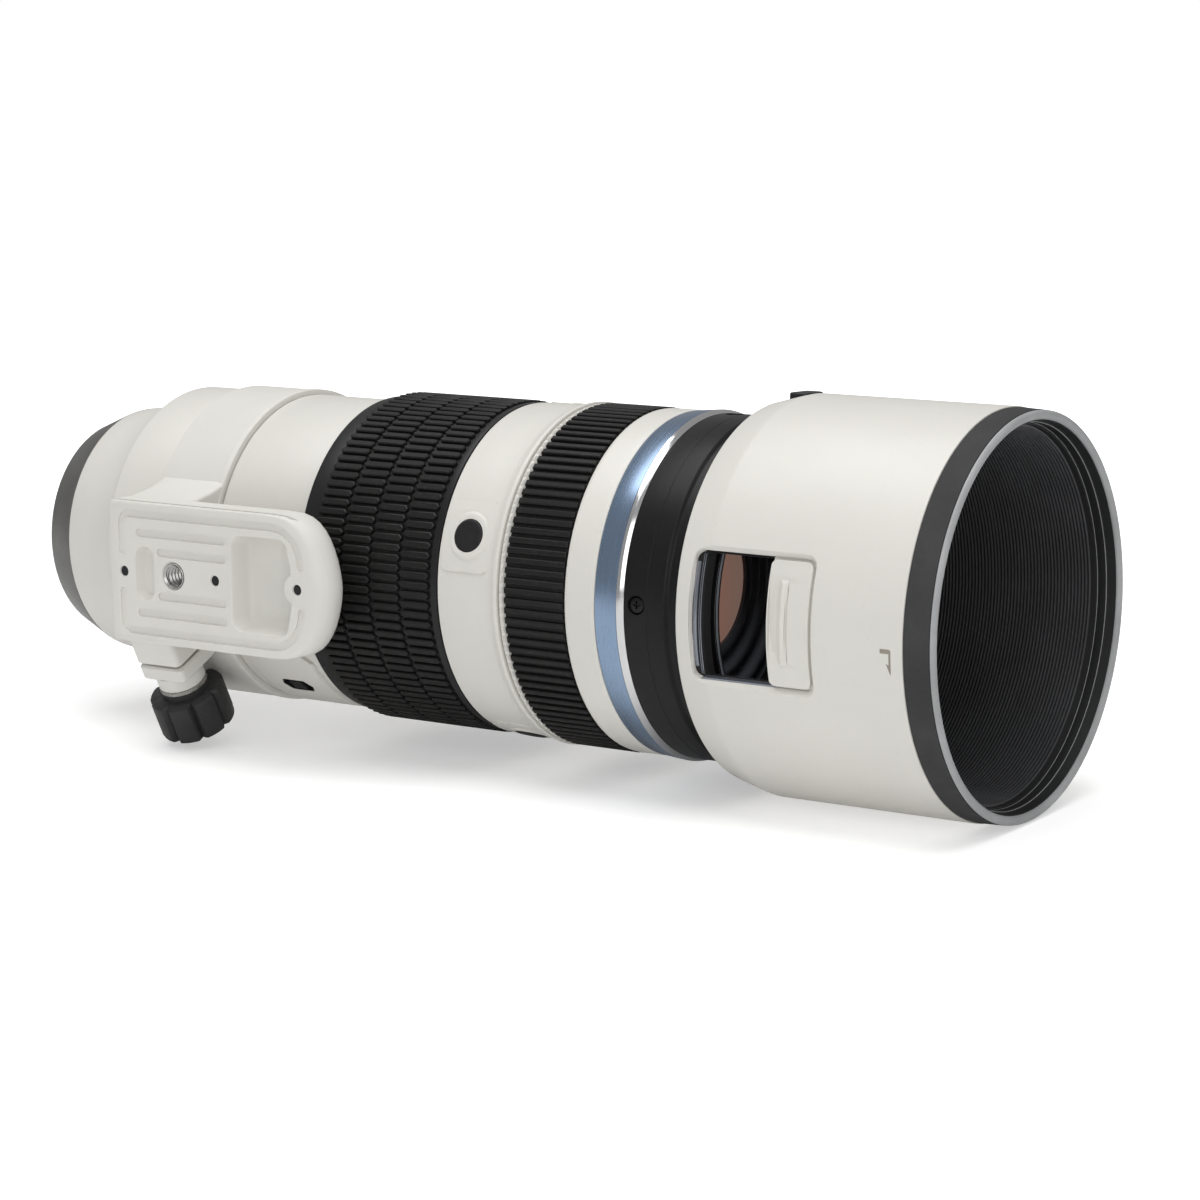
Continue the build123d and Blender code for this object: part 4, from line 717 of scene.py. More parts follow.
hand_over(join("function_section", [section] + collars + pads), "barrel", "white_shell", "function_shell")

# %% [markdown]
# The focus ring has a white serrated edge and a sleeve of straight rubber ribs. Both patterns are the
# same tree with one column, so only the little piece and the count change.
# %% Focus ring and its grip
focus = lathe("focus_ring_body", [
    (166.3, 38.68), (166.3, 44.9, 0.2), (167.3, 44.9, 0.2), (167.9, 43.7), (186.3, 43.7), (186.3, 38.68),
    (184.3, 38.68), (184.3, 42.7), (168.3, 42.7), (168.3, 38.68),
], white_shell)
tooth = block("tooth", 166.4, 0.95, 2.0, 44.7, 45.2, 0.42)
repeated(focus, tooth, white_shell, 108)
hand_over(focus, "focus_hand_ring", "white_shell", "focus_ring")
sleeve = lathe("focus_sleeve", [
    (167.94, 43.74), (167.94, 44.4), (186.3, 44.4), (186.3, 43.74),
], grip_rubber, 0.12)
rib = block("rib", 168.0, 18.24, 1.7, 44.3, 45.4, 0.36)
repeated(sleeve, rib, grip_rubber, 108)
hand_over(sleeve, "focus_hand_ring", "grip_rubber", "focus_grip")

# %% [markdown]
# In front of the focus ring come a white shell, a steel-blue anodised ring, a polished ring of two
# facets and the black front barrel, which steps down to the seat of the hood.
# %% Front rings and barrel
SCREW_X, SCREW_ANGLE = 208.0, 3
THREAD_TURNS, THREAD_END = 7, 227.4
shell = lathe("front_white_shell", [
    (186.6, 38.64), (186.6, 45.0, 0.3), (187.6, 45.2, 0.3), (194.4, 45.2, 0.3), (194.9, 45.0, 0.2),
    (195.56, 45.05, 0.2), (195.56, 43.2), (188.6, 43.2), (188.6, 38.64),
], white_shell)
hand_over(shell, "barrel", "white_shell", "front_shell")
blue = lathe("blue_band", [
    (195.75, 41.24), (195.75, 45.1, 0.25), (202.5, 45.72, 0.15), (202.5, 41.24),
], blue_metal)
hand_over(blue, "barrel", "blue_metal", "blue_ring")
silver = lathe("polished_band", [
    (202.6, 41.2), (202.6, 45.75, 0.12), (203.5, 45.55, 0.05), (204.4, 44.95, 0.08), (204.4, 41.2),
], polished_metal)
hand_over(silver, "barrel", "polished_metal", "silver_ring")
thread = []
for turn in range(THREAD_TURNS):
    crest = THREAD_END - turn
    thread += [(crest, 38.5, 0.05), (crest - 0.42, 38.95, 0.05)]
barrel = lathe("front_barrel_body", [
    (195.6, 38.64), (195.6, 41.2), (204.4, 41.2), (204.4, 44.9, 0.3), (210.9, 44.9, 0), (211.0, 44.83, 0),
    (211.1, 44.9, 0), (216.0, 44.9, 0.3), (216.9, 44.0, 0.3), (222.4, 44.0, 0.2), (222.4, 43.2),
    (224.4, 43.2, 0.2), (224.4, 40.2), (228.4, 40.2, 0.15), (228.4, 38.5, 0.15),
] + thread + [
    (219.8, 38.5), (219.8, 37.16), (216.0, 37.16), (216.0, 42.9), (206.4, 42.9), (206.4, 37.16),
    (200.3, 37.16), (200.3, 38.64),
], black_metal)
for quarter in range(4):
    at = on_barrel(SCREW_X, SCREW_ANGLE + 90 * quarter)
    carve(barrel, [post("bore", [(43.3, 2.35), (44.5, 2.35), (46, 2.9)], at, steps=32)])
hand_over(barrel, "barrel", "black_metal", "front_barrel")
# A thin pale ring on the filter thread's front edge is a painted highlight line.
filter_edge_highlight = lathe("filter_edge", [
    (228.1, 40.22), (228.42, 40.05), (228.44, 39.3), (228.1, 39.2),
], painted_highlight_grey, 0)
hand_over(filter_edge_highlight, "barrel", "black_metal")

# %% [markdown]
# Cross-head screws hold the front barrel. One screw is modelled with a domed head and a cross cut into
# it, and the tree sets it four times round the axis.
# %% Barrel screws
at = on_barrel(SCREW_X, SCREW_ANGLE)
head = post("head", [(43.34, 2.1), (44.25, 2.1), (44.45, 1.9), (44.55, 1.4), (44.58, 0.6)], at, steps=32)
for length, width in ((2.3, 0.5), (0.5, 2.3)):
    floor_shape = box_outline(length * 0.6, width * 0.6, 0.05, 2)
    carve(head, [tower("slot", [(44.0, floor_shape), (44.7, box_outline(length, width, 0.12, 2))], at)])
screws = lathe("screw_seats", [
    (207.0, 42.0), (207.0, 42.3), (209.0, 42.3), (209.0, 42.0),
], dark_screw, 0, 64)
repeated(screws, head, dark_screw, 4)
hand_over(screws, "barrel", "screw_steel", "barrel_screws")

# %% [markdown]
# Behind the hood's window lie the filter thread, the retaining ring and the domed front glass. The glass
# lets most light through, and behind it lie a stepped black baffle and a lens whose copper glow is a
# painted reflection.
# %% Front glass
ON_AXIS = 0.001


def domed(edge_x, rise, radius, rings):
    """A parabola from the edge of a glass to the axis."""
    radii = [radius * ring / rings for ring in range(rings, -1, -1)]
    return [(edge_x + rise * (1 - (r / radius) ** 2), max(r, ON_AXIS)) for r in radii]


# The rim's point is rounded as a mesh stores it, because the tiny ring at the axis only merges into a
# closed surface with it.
glass_rim = tuple(Vector((213.55, 35.6)))
glass = lathe("front_glass", [glass_rim] + domed(213.55, 4.0, 35.6, 24)[1:] + [
    (206.2, ON_AXIS), (208.55, 33.6), (208.55, 35.6),
], front_glass_clear, 0, 192, 60)
hand_over(glass, "barrel", "coated_glass", "front_element")
retainer = lathe("glass_retainer", [
    (214.25, 34.2, 0.2), (213.6, 35.62), (217.8, 35.62), (217.8, 37.12), (219.76, 37.12, 0.2),
    (219.76, 35.9, 0.3),
], black_metal)
hand_over(retainer, "barrel", "black_metal", "front_retainer")
baffle = [(201.0, 17.1), (202.2, 17.1)]
for radius, station in ((19.5, 202.2), (22.5, 202.7), (25.5, 203.3), (28.5, 204.0), (31.0, 204.8)):
    baffle += [(station, radius, 0.12), (station + 0.35, radius + 0.1, 0.12)]
baffle = lathe("front_baffle", baffle + [(205.3, 33.4), (201.0, 33.4)], baffle_black, 0.1, 192)
hand_over(baffle, "barrel", "black_lining")
# This lens glows in copper: a painted reflection of the light inside the lens.
coated_lens = lathe("coated_lens", domed(201.3, 1.3, 17.05, 12) + [
    (201.1, ON_AXIS), (201.1, 17.05),
], copper_reflection_glow, 0, 192, 60)
hand_over(coated_lens, "barrel", "coated_glass")

# %% [markdown]
# The hood is a painted drum with a window in its side. Its rear is a cone with an eased edge. The window
# is cut by a tower bent round the drum: the tower widens at the top, and that makes the sunk bevel.
# %% Hood shell
HOOD_R = 51.6
WINDOW_X, WINDOW_ANGLE, WINDOW_HALF, WINDOW_WIDTH = 245.25, 3.1, 15.85, 33.2
SHELL_REAR = -18.1
RELEASE_X, RELEASE_ANGLE = 229.1, 93
hood = lathe("hood_body", [
    (222.1, 47.55), (222.1, 49.02, 0.6), (231.4, 51.5, 1.6), (232.4, 51.62, 0.6), (286.8, 51.62, 0.35),
    (286.8, 50.15), (229.1, 50.15), (229.1, 48.69), (226.4, 48.69), (226.4, 47.55),
], white_shell, 0.2)


def window(less, corner, rear=-WINDOW_HALF):
    """The window's outline, smaller by less on each side but the rear one, which has its own place."""
    front = WINDOW_HALF - less
    return box_outline(front - rear, WINDOW_WIDTH - 2 * less, corner, 6, ((front + rear) / 2, 0))


side = wrapped(WINDOW_X, WINDOW_ANGLE, HOOD_R)


def within(piece, outline):
    """The part of a piece that lies inside an outline on the hood's side."""
    return carve(piece, [prism("keep", outline, 30, 70, side)], "INTERSECT")


bevel = (
    (30, 0, 2.2, 0), (50.1, 0, 2.2, 0), (50.45, -0.1, 2.3, 0.15), (51.35, -0.8, 2.8, 0.3),
    (51.62, -1.0, 3.0, 0.4), (70, -1.0, 3.0, 0.4),
)
levels = [(w, window(less, corner, SHELL_REAR - further)) for w, less, corner, further in bevel]
carve(hood, [tower("opening", levels, side)])
release_hole = box_outline(5.8, 9.6, 1.2)
carve(hood, [prism("release_hole", release_hole, 40, 60, on_barrel(RELEASE_X, RELEASE_ANGLE))])
hand_over(hood, "hood", "white_shell", "hood_shell")
rails = []
rail_sizes = ((227.3, 228.35, 49.0, 27.5), (228.75, 228.95, 48.75, 32.0), (229.2, 229.42, 48.72, 32.0))
for first, last, top, span in rail_sizes:
    rail = lathe("rail", [
        (first, 48.5), (first, top, 0.1), (last, top, 0.1), (last, 48.5),
    ], rail_grey, 0.1)
    rails.append(within(rail, box_outline(8, span, 0.3, 3, (-16.8, 0))))
low_rail = box_outline(20.5, 0.4, 0.1, 2, (-5.2, -16.35))
rails.append(prism("low_rail", low_rail, 48.7, 50.2, side, rail_grey))
hand_over(join("window_rails", rails), "hood", "black_lining")

# %% [markdown]
# The lining carries the ring that locks on the barrel and dozens of fine ribs that keep stray light off
# the glass. The ribs are copies along the axis of one thin ring.
# %% Hood lining
RIB_PITCH, NEAR_RIBS, FAR_RIBS = 0.96, 31, 28
lining = lathe("hood_lining_body", [
    (222.7, 43.28), (222.7, 47.51), (226.48, 47.51), (226.48, 48.65), (288.96, 48.65), (288.96, 47.3),
    (228.88, 47.3), (228.88, 43.28),
], lining_black, 0.15)
carve(lining, [prism("opening", window(0, 2.2), 30, 70, side)])
rib_shape = [(0, 47.45), (0.14, 46.9), (0.32, 46.9), (0.46, 47.45)]
near = lathe("near_rib", [(231.3 + u, r) for u, r in rib_shape], None, 0, 192)
carve(near, [prism("opening", box_outline(60, WINDOW_WIDTH, 2.2), 30, 70, side)])
repeated(lining, near, rib_grey, 1, columns=NEAR_RIBS, pitch_mm=RIB_PITCH)
beyond = lathe("far_rib", [(261.0 + u, r) for u, r in rib_shape], None, 0, 192)
repeated(lining, beyond, rib_grey, 1, columns=FAR_RIBS, pitch_mm=RIB_PITCH)
hand_over(lining, "hood", "black_lining", "hood_lining")

# %% [markdown]
# The hood ends in a black rim, which tapers a little, and a rounded grey lip. Inside, black steps lead
# from the lining to the lip, and the edges of two of them are pale.
# %% Hood rim and lip
rim = lathe("hood_rim_band", [
    (283.5, 48.69), (283.5, 50.11), (286.84, 50.11), (286.84, 51.4, 0.25), (293.66, 51.15, 0.2),
    (293.66, 48.69),
], rim_black)
hand_over(rim, "hood", "rim_rubber", "hood_rim")
lip = lathe("hood_lip_ring", [
    (293.7, 48.69), (293.7, 51.0, 0.3), (294.3, 51.15, 0.4), (294.98, 50.5, 0.7), (294.98, 49.6, 0.6),
    (294.4, 48.8, 0.3),
], lip_grey, 0.3)
hand_over(lip, "hood", "lip_metal", "hood_lip")
steps = lathe("lip_steps", [
    (289.0, 48.65), (289.0, 47.9, 0.1), (291.5, 48.0, 0.1), (291.6, 48.3, 0.1), (293.9, 48.5, 0.1),
    (293.9, 48.65),
], lining_black, 0.1)
edges = []
for first, last, inner in ((291.36, 291.52, 47.94), (288.98, 289.12, 47.84)):
    ring = [(first, 48.1), (first, inner), (last, inner), (last, 48.1)]
    edges.append(lathe("step_edge", ring, lip_grey, 0))
hand_over(join("lip_inside", [steps, *edges]), "hood", "black_lining")

# %% [markdown]
# The window's door slides forwards under the shell. It is a bent plate with a raised block, a shallow
# tray and a three-sided ridge for the finger.
# %% Window door
RIDGE_LOW, RIDGE_HIGH = 50.5, 51.5
plate = lathe("plate", [(249.1, 48.95), (249.1, 49.85), (281.9, 49.85), (281.9, 48.95)], white_shell, 0.1)
plate = within(plate, box_outline(32.8, 34.8, 1.5, 4, (20.25, 0)))
bulk = lathe("bulk", [
    (249.1, 48.95), (249.1, 50.95, 0.35), (260.8, 50.95, 0.2), (260.8, 48.95),
], white_shell, 0.1)
bulk = within(bulk, box_outline(11.7, 31.6, 1.8, 6, (9.7, 0)))
tray_floor = box_outline(3.0, 18.0, 0.5, 3, (7.0, 0.3))
tray_mouth = box_outline(5.4, 22.4, 0.8, 3, (7.0, 0.3))
carve(bulk, [tower("tray", [(50.0, tray_floor), (50.96, tray_mouth), (56, tray_mouth)], side)])
carve(bulk, [prism("slit", box_outline(0.5, 14.6, 0.2, 3, (5.3, 0.1)), 49.5, 56, side)])
ridge = lathe("ridge", [
    (251.6, 49.5), (251.6, 50.0), (253.4, 51.5, 0.1), (254.7, 50.9), (254.7, 49.5),
], white_shell, 0.05)
low, high = box_outline(4.6, 22.6, 0.3, 3, (7.9, 0.3)), box_outline(1.6, 18.4, 0.2, 3, (8.2, 0.3))
sides = tower("keep", [(30, low), (RIDGE_LOW, low), (RIDGE_HIGH, high), (70, high)], side)
ridge = carve(ridge, [sides], "INTERSECT")
hand_over(join("window_door", [plate, bulk, ridge]), "hood_window_door", "white_shell", "hood_door")
release = tower("release_button", [
    (49.7, box_outline(5.2, 9.0, 0.9)), (51.5, box_outline(5.2, 9.0, 0.9)),
    (51.75, box_outline(4.8, 8.6, 0.8)), (51.84, box_outline(4.2, 8.0, 0.7)),
], on_barrel(RELEASE_X, RELEASE_ANGLE), black_plastic)
hand_over(release, "hood_catch", "black_plastic", "hood_release")

# %% [markdown]
# The tripod collar is one casting: a split ring, a neck that spreads where it meets the ring, the foot
# with its dovetail sides, and two ears for the clamp. The foot is a stack of outlines whose edges are
# eased, and all its hollows are cut at once.
# %% The collar's ring, neck and ears
CLAMP_X, CLAMP_R, CLAMP_TILT = 57.0, 51.6, 26


def under_foot(u, v, w):
    """u along the axis, v up, w the distance below the axis."""
    return Vector((u, -w, v))


band = lathe("band", [
    (48.5, 40.68), (48.5, 43.3, 0.7), (68.3, 43.3, 0.1), (68.5, 43.5, 0.1), (70.5, 43.5, 0.5),
    (70.5, 40.68),
], crinkle_white, 0.1)


def barrel_core():
    """What the barrel takes out of the pieces that reach under the collar's ring."""
    return lathe("core", [(40, 0.01), (40, 40.7), (80, 40.7), (80, 0.01)], None, 0, 128)


neck_halves = (
    (33.0, 24.6), (35.0, 23.4), (37.0, 22.3), (39.5, 21.3), (42.5, 20.4), (46.0, 19.7), (50.0, 19.15),
    (51.0, 19.05),
)
neck_levels = [(w, box_outline(21.6, 2 * half, 1.0, 4, (59.5, 0))) for w, half in neck_halves]
neck = carve(tower("neck", neck_levels, under_foot, crinkle_white, 45), [barrel_core()], "DIFFERENCE", 45)
clamp_way = Vector((0, sin(radians(CLAMP_TILT)), -cos(radians(CLAMP_TILT))))


def at_clamp(u, v, w):
    """u along the lens axis, v away from it, w along the clamp screw."""
    return Vector((CLAMP_X + u, 0, 0)) + outward(-CLAMP_TILT) * (CLAMP_R + v) + clamp_way * w


ears = []
for low, high in ((-8.0, 2.0), (2.8, 7.2)):
    levels = []
    for w, less in ((low, 0.5), (low + 0.4, 0), (high - 0.5, 0), (high, 0.5)):
        levels.append((w, box_outline(15 - 2 * less, 15.6 - 2 * less, 1.6, 4, (0, -1.2))))
    ears.append(carve(tower("ear", levels, at_clamp, crinkle_white), [barrel_core()]))
boss = post("boss", [(7.0, 6.6), (10.8, 6.6), (11.15, 6.3), (11.2, 6.0)], at_clamp, crinkle_white)

# %% [markdown]
# The base of the foot has two C-shaped border grooves, four straight grooves, an oval, a deep pocket
# with a round bump towards the front hole, three small holes and the steel tripod thread.
# %% The foot
FOOT_HEEL, FOOT_NOSE, FOOT_HALF, FOOT_BASE = 49.0, 122.35, 19.1, 60
NOSE_START = 104.0
GROOVE_DEPTH = 0.6
PILOT_XS, THREAD_X = (53.7, 85.2, 112.8), 70.8


def foot_outline(w, less, groove):
    """The foot at w below the axis: square at the heel, one wide curve at the nose, eased edges."""
    front, half, heel = FOOT_NOSE - less, FOOT_HALF - less, FOOT_HEEL + less
    found = [(heel + 0.8, -half), (70.0, -half), (90.0, -half), (NOSE_START, -half)]
    for step in range(1, 20):
        turn = -pi / 2 + pi * step / 20
        lean = abs(sin(turn)) ** 1.2 * (1 if turn > 0 else -1)
        found.append((NOSE_START + (front - NOSE_START) * cos(turn) ** 0.64, half * lean))
    found += [(NOSE_START, half), (90.0, half), (70.0, half), (heel + 0.8, half)]
    found += [(heel, half - 0.8), (heel, 0.8 - half)]
    depth, reach = (54.2 - w, 4.2) if w < 54.4 else (w - 54.6, 5.4)
    pull = reach * (1 - sqrt(1 - min(1.0, max(0.0, depth / reach)) ** 2))
    done = []
    for u, v in found:
        back_share = min(1.0, max(0.0, (u - 96.0) / 26.0)) ** 1.3
        side_share = min(1.0, max(0.0, (113.0 - u) / 5.0))
        away = min(abs(v), groove * side_share)
        done.append((u - pull * back_share, v - away * (1 if v > 0 else -1)))
    return done


profile = (
    (50.0, 1.2, 0), (50.15, 0.7, 0), (50.5, 0.3, 0), (51.0, 0.05, 0), (52.0, 0, 0), (53.2, 0, 0),
    (54.4, 0, 0), (55.6, 0, 0), (56.6, 0, 0), (57.6, 0, 0), (57.7, 0, 1.3), (58.7, 0, 1.3), (58.8, 0, 0),
    (59.3, 0, 0), (59.6, 0.05, 0), (59.85, 0.18, 0), (60.0, 0.45, 0),
)
levels = [(w, foot_outline(w, less, groove)) for w, less, groove in profile]
plate = tower("foot_plate", levels, under_foot, crinkle_white, 50)


def groove(points, width):
    """Outline of a round-ended groove along a line of points."""
    path = [Vector(p) for p in points]
    left, right_side = [], []
    for i, spot in enumerate(path):
        way = (path[min(i + 1, len(path) - 1)] - path[max(i - 1, 0)]).normalized()
        side_way = Vector((-way.y, way.x)) * width / 2
        left.append(spot + side_way)
        right_side.append(spot - side_way)
    ends = []
    for centre, first in ((path[-1], left[-1]), (path[0], right_side[0])):
        arm = first - centre
        ends.append([centre + Matrix.Rotation(-pi * k / 6, 2) @ arm for k in range(1, 6)])
    return [tuple(p) for p in left + ends[0] + right_side[::-1] + ends[1]]


def sunk(points, width):
    floor_shape, mouth = groove(points, width * 0.93), groove(points, width)
    levels = [(FOOT_BASE - GROOVE_DEPTH, floor_shape), (FOOT_BASE + 0.02, mouth), (FOOT_BASE + 1, mouth)]
    return tower("sunk", levels, under_foot)


def at_foot(station):
    """Places (along, up, distance below the axis) round one hole of the foot."""
    return lambda u, v, w: under_foot(station + u, v, w)


cutters = []
for way in (-1, 1):
    cutters.append(sunk([(66.5, way * 5.9), (88.0, way * 5.9)], 2.3))
    cutters.append(sunk([(59.3, way * 10.8), (88.0, way * 10.8)], 2.3))
    corner = [(56.0 - 2.8 * cos(k * pi / 10), way * (13.0 + 2.8 * sin(k * pi / 10))) for k in range(6)]
    nose = [(104.5 + 9.6 * sin(k * pi / 16), way * (6.0 + 9.8 * cos(k * pi / 16))) for k in range(9)]
    straight = [(station, way * 15.8) for station in (60.0, 80.0, 100.0)]
    cutters.append(sunk([(53.2, way * 5.5), (53.2, way * 9.5)] + corner + straight + nose, 2.2))
oval_levels = []
for w, across, end in ((57.6, 4.4, 2.15), (58.4, 5.6, 2.75), (60.1, 6.4, 3.15), (62, 6.4, 3.15)):
    oval_levels.append((w, box_outline(across, across + 8.2, end, 6, (61.1, 0))))
cutters.append(tower("oval", oval_levels, under_foot))


def pocket(less):
    """A rounded rectangle whose front wall bows out and goes round the boss of the front hole."""
    front = []
    for step in range(-13, 14):
        v = step * (9.4 - less) / 13
        bow = 109.6 - less + 1.5 * (1 - (v / 9.4) ** 2)
        boss_wall = PILOT_XS[-1] - sqrt(max(0.0, (4.4 + less) ** 2 - v ** 2))
        front.append((min(bow, boss_wall), v))
    return box_outline(18.7 - 2 * less, 25.4 - 2 * less, 3.2, 6, (100.25, 0)) + front


pocket_levels = (
    (53.0, 2.2), (53.6, 1.3), (54.6, 0.8), (59.3, 0.1), (59.8, -0.1), (60.1, -0.4), (62, -0.4),
)
cutters.append(tower("pocket", [(w, pocket(less)) for w, less in pocket_levels], under_foot))
painted_hole_shades = []
for station in PILOT_XS:
    at = at_foot(station)
    cutters.append(post("hole", [(56, 1.4), (59.75, 1.4), (60.1, 1.6), (62, 1.6)], at, steps=24))
    # A black disc half a millimetre down each small hole is painted shade for the hole's depth.
    painted_hole_shades.append(post("plug", [(56.1, 1.37), (59.5, 1.37)], at, lining_black, steps=24))
at_thread = at_foot(THREAD_X)
cutters.append(post("bore", [(50.5, 3.54), (59.5, 3.54), (60.1, 4.1), (62, 4.1)], at_thread))
plate = carve(plate, cutters, "DIFFERENCE", 40)
hand_over(join("pilot_holes", painted_hole_shades), "collar", "black_lining")
casting = join("collar_casting", [band, neck, *ears, boss, plate])
hand_over(casting, "collar", "white_casting", "tripod_collar")

# %% [markdown]
# The tripod thread is a real helix: a V-shaped ridge that climbs inside a steel sleeve.
# %% Tripod thread
SLEEVE_R, SLEEVE_DEPTH = 3.5, 53.0
HELIX_TURNS, HELIX_PITCH, HELIX_STEPS = 5, 1.27, 36


def tube(low, high, inner, material):
    """A short tube in the tripod hole, with its mouth opened to a cone."""
    wall = [(low, SLEEVE_R), (high - 0.1, SLEEVE_R), (high, SLEEVE_R - 0.1)]
    bore = [(low - 1, inner), (high - 0.45, inner), (high + 0.01, SLEEVE_R - 0.2)]
    return carve(post("wall", wall, at_thread, material), [post("bore", bore, at_thread)])


sleeve = tube(SLEEVE_DEPTH, 59.2, 3.17, dark_screw)
mouth = tube(59.22, 59.92, 2.75, screw_steel)
points, faces = [], []
for step in range(HELIX_TURNS * HELIX_STEPS + 1):
    turn, w = tau * step / HELIX_STEPS, SLEEVE_DEPTH + HELIX_PITCH * step / HELIX_STEPS
    for reach, off in ((3.2, -0.5), (2.62, -0.08), (2.62, 0.08), (3.2, 0.5)):
        points.append(tuple(at_thread(reach * cos(turn), reach * sin(turn), min(w + off, 59.15))))
for step in range(HELIX_TURNS * HELIX_STEPS):
    for i in range(4):
        a, b = step * 4 + i, step * 4 + (i + 1) % 4
        faces.append((a, b, b + 4, a + 4))
faces += [(0, 1, 2, 3), tuple(len(points) - 4 + i for i in range(4))]
helix = shape("helix", points, faces, screw_steel)
hand_over(join("tripod_thread", [sleeve, helix, mouth]), "collar", "screw_steel", "thread_insert")

# %% [markdown]
# The clamp knob has eight broad lobes with narrow grooves between them, and sits on a steel washer.
# %% Clamp knob and washer
KNOB_R, KNOB_LOBES, KNOB_GROOVE = 10.45, 8, 1.5


def fluted(less):
    """The knob's outline, smaller by less."""
    found = []
    for step in range(192):
        turn = tau * step / 192
        lobe = (turn * KNOB_LOBES / tau) % 1
        off = abs(lobe if lobe < 0.5 else lobe - 1) * 45
        valley = max(0.0, 1 - off / 7.5)
        reach = KNOB_R - less - KNOB_GROOVE * valley ** 1.2 + 0.05 * sin(radians(off * 4))
        found.append((reach * cos(turn), reach * sin(turn)))
    return found


knob = tower("knob", [
    (12.24, circle(6.6, 192)), (14.0, circle(6.6, 192)), (14.24, fluted(0.8)), (14.7, fluted(0.15)),
    (15.0, fluted(0)), (24.6, fluted(0)), (25.3, fluted(0.2)), (25.56, fluted(0.5)), (25.64, fluted(0.9)),
], at_clamp, knob_black)
carve(knob, [post("bore", [(11, 2.54), (21.74, 2.54)], at_clamp)])
hand_over(knob, "clamp", "black_plastic", "clamp_knob")
washer = post("washer", [(11.24, 6.6), (11.35, 6.8), (12.1, 6.8), (12.2, 6.6)], at_clamp, screw_steel)
carve(washer, [post("bore", [(11, 2.58), (13, 2.58)], at_clamp)])
hand_over(washer, "collar", "screw_steel", "clamp_washer")

# %% [markdown]
# A small bent arrow on the drum helps to line up the hood. It is paint, so it stands only a hundredth of
# a millimetre proud.
# %% Printed mark
ink = black_finish("ink", (0.27, 0.235, 0.20), 0.5, 0.0, 1000)
arrow = [
    (-2.75, 1.4), (-0.46, 1.4), (-0.46, -1.35), (-1.2, -0.95), (-0.02, -3.7), (0.08, -3.3), (0.12, 2.1),
    (-0.2, 2.45), (-2.75, 2.5),
]
hand_over(prism("hood_mark", arrow, 51.57, 51.63, on_barrel(283.6, -3), ink), "hood", "black_plastic")

# %% [markdown]
# The inner pieces are seen only through the glass and the mount, so the solids' own meshes stay. The
# mount, its contacts and the board get finishes made above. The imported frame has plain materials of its
# own, some under the same names as finishes above, and the other solids take those.
# %% Finishes of the kept solids
packed = bpy.data.materials
finishes = (
    (mount_steel, ("bayonet_mount",)), (gold_plate, ("contact_pins",)), (board_green, ("circuit_board",)),
    (packed["screw_steel"], ("mount_screws", "clamp_screw", "guide_rods")),
    (packed["black_plastic"], ("contact_block", "iris_housing", "focus_motor")),
    (packed["button_rubber"], ("mount_seal",)),
    (packed["coated_glass"], (
        "rear_element", "variator_element", "compensator_element", "focus_element", "stabiliser_element",
    )),
    (packed["inner_metal"], (
        "main_tube", "cam_tube", "rod_plate", "rear_cell", "front_cell", "variator_cell",
        "compensator_cell", "focus_cell", "stabiliser_frame", "stabiliser_carrier",
        "stabiliser_cell", "iris_drive_ring", "iris_blades",
    )),
)
finished = []
for finish, names in finishes:
    finished += names
    for name in names:
        nodes[name].data.materials.clear()
        nodes[name].data.materials.append(finish)
left = [name for name, solid in nodes.items() if not solid.hide_render and name not in finished]
print("solids without a finish", left)

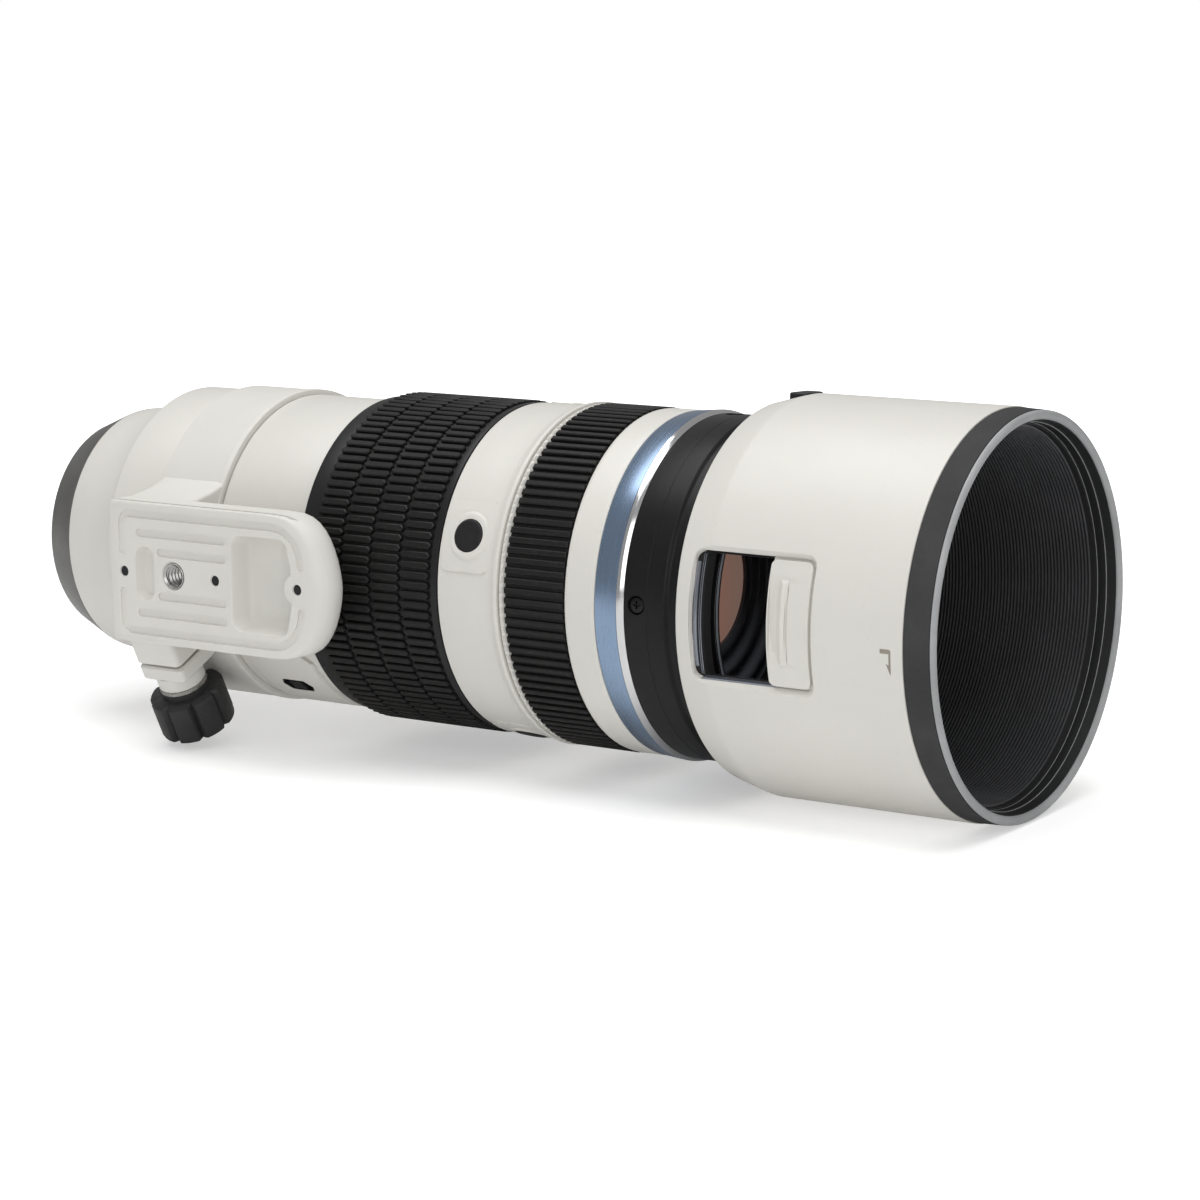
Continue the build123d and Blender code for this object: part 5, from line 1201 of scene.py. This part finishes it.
# %% [markdown]
# A plain pale floor carries the lens. The camera and shiny surfaces see a white surround, because the
# world and the floor add light of their own for those rays only, and the floor still takes the shadow.
# %% Floor and surround
FLOOR_HALF = 3
floor_z = solid_box[0][2]
corners = [(x * FLOOR_HALF, y * FLOOR_HALF, floor_z) for x, y in ((-1, -1), (1, -1), (1, 1), (-1, 1))]
mesh = bpy.data.meshes.new("floor")
mesh.from_pydata(corners, [], [(0, 1, 2, 3)])
floor = bpy.data.objects.new("floor", mesh)
bpy.context.scene.collection.objects.link(floor)
material = bpy.data.materials.new("pale_floor")
material.use_nodes = True
tree = material.node_tree
tree.nodes.clear()
place = Wire(tree).node("ShaderNodeTexCoord", None, None, 3)
seen = Wire(tree).node("ShaderNodeLightPath", None, None, 0)
shiny = Wire(tree).node("ShaderNodeLightPath", None, None, 2)
tone = place.noise(3).span(0.3, 0.7).blend((0.80, 0.80, 0.80), (0.78, 0.78, 0.78))
lit = Wire(tree).node("ShaderNodeBsdfDiffuse", None, {"Color": tone})
far = place.vector("LENGTH", (0, 0, 0), 1).span(0.22, 0.75, 0.42, 1.0)
strength = seen * far + shiny * 0.25
glow = Wire(tree).node("ShaderNodeEmission", None, {"Color": (1, 1, 1, 1), "Strength": strength})
total = Wire(tree).node("ShaderNodeAddShader", None, {0: lit, 1: glow})
tree.links.new(total.socket, tree.nodes.new("ShaderNodeOutputMaterial").inputs[0])
mesh.materials.append(material)
world = bpy.data.worlds.new("surround")
bpy.context.scene.world = world
world.use_nodes = True
tree = world.node_tree
tree.nodes.clear()
seen = Wire(tree).node("ShaderNodeLightPath", None, None, 0)
strength = seen * 0.68 + 0.32
soft = Wire(tree).node("ShaderNodeBackground", None, {"Color": (1, 1, 1, 1), "Strength": strength})
tree.links.new(soft.socket, tree.nodes.new("ShaderNodeOutputWorld").inputs[0])

# %% [markdown]
# One broad lamp above gives the bright top and the soft shadow, and a weaker one in front opens the
# shaded side. Large lamps make the long soft highlights of a product photograph.
# %% Lamps
def lamp(name, place_at, aim, size, watts):
    data = bpy.data.lights.new(name, "AREA")
    data.shape, data.size, data.size_y, data.energy = "RECTANGLE", size[0], size[1], watts
    made = bpy.data.objects.new(name, data)
    made.location = place_at
    made.rotation_euler = (Vector(aim) - Vector(place_at)).to_track_quat("-Z", "Y").to_euler()
    bpy.context.scene.collection.objects.link(made)


lamp("top", (0.12, -0.12, 1.1), (0.15, 0, 0), (1.4, 0.9), 11.5)
lamp("front", (0.75, -1.0, 0.45), (0.15, 0, 0), (0.8, 0.8), 3.4)
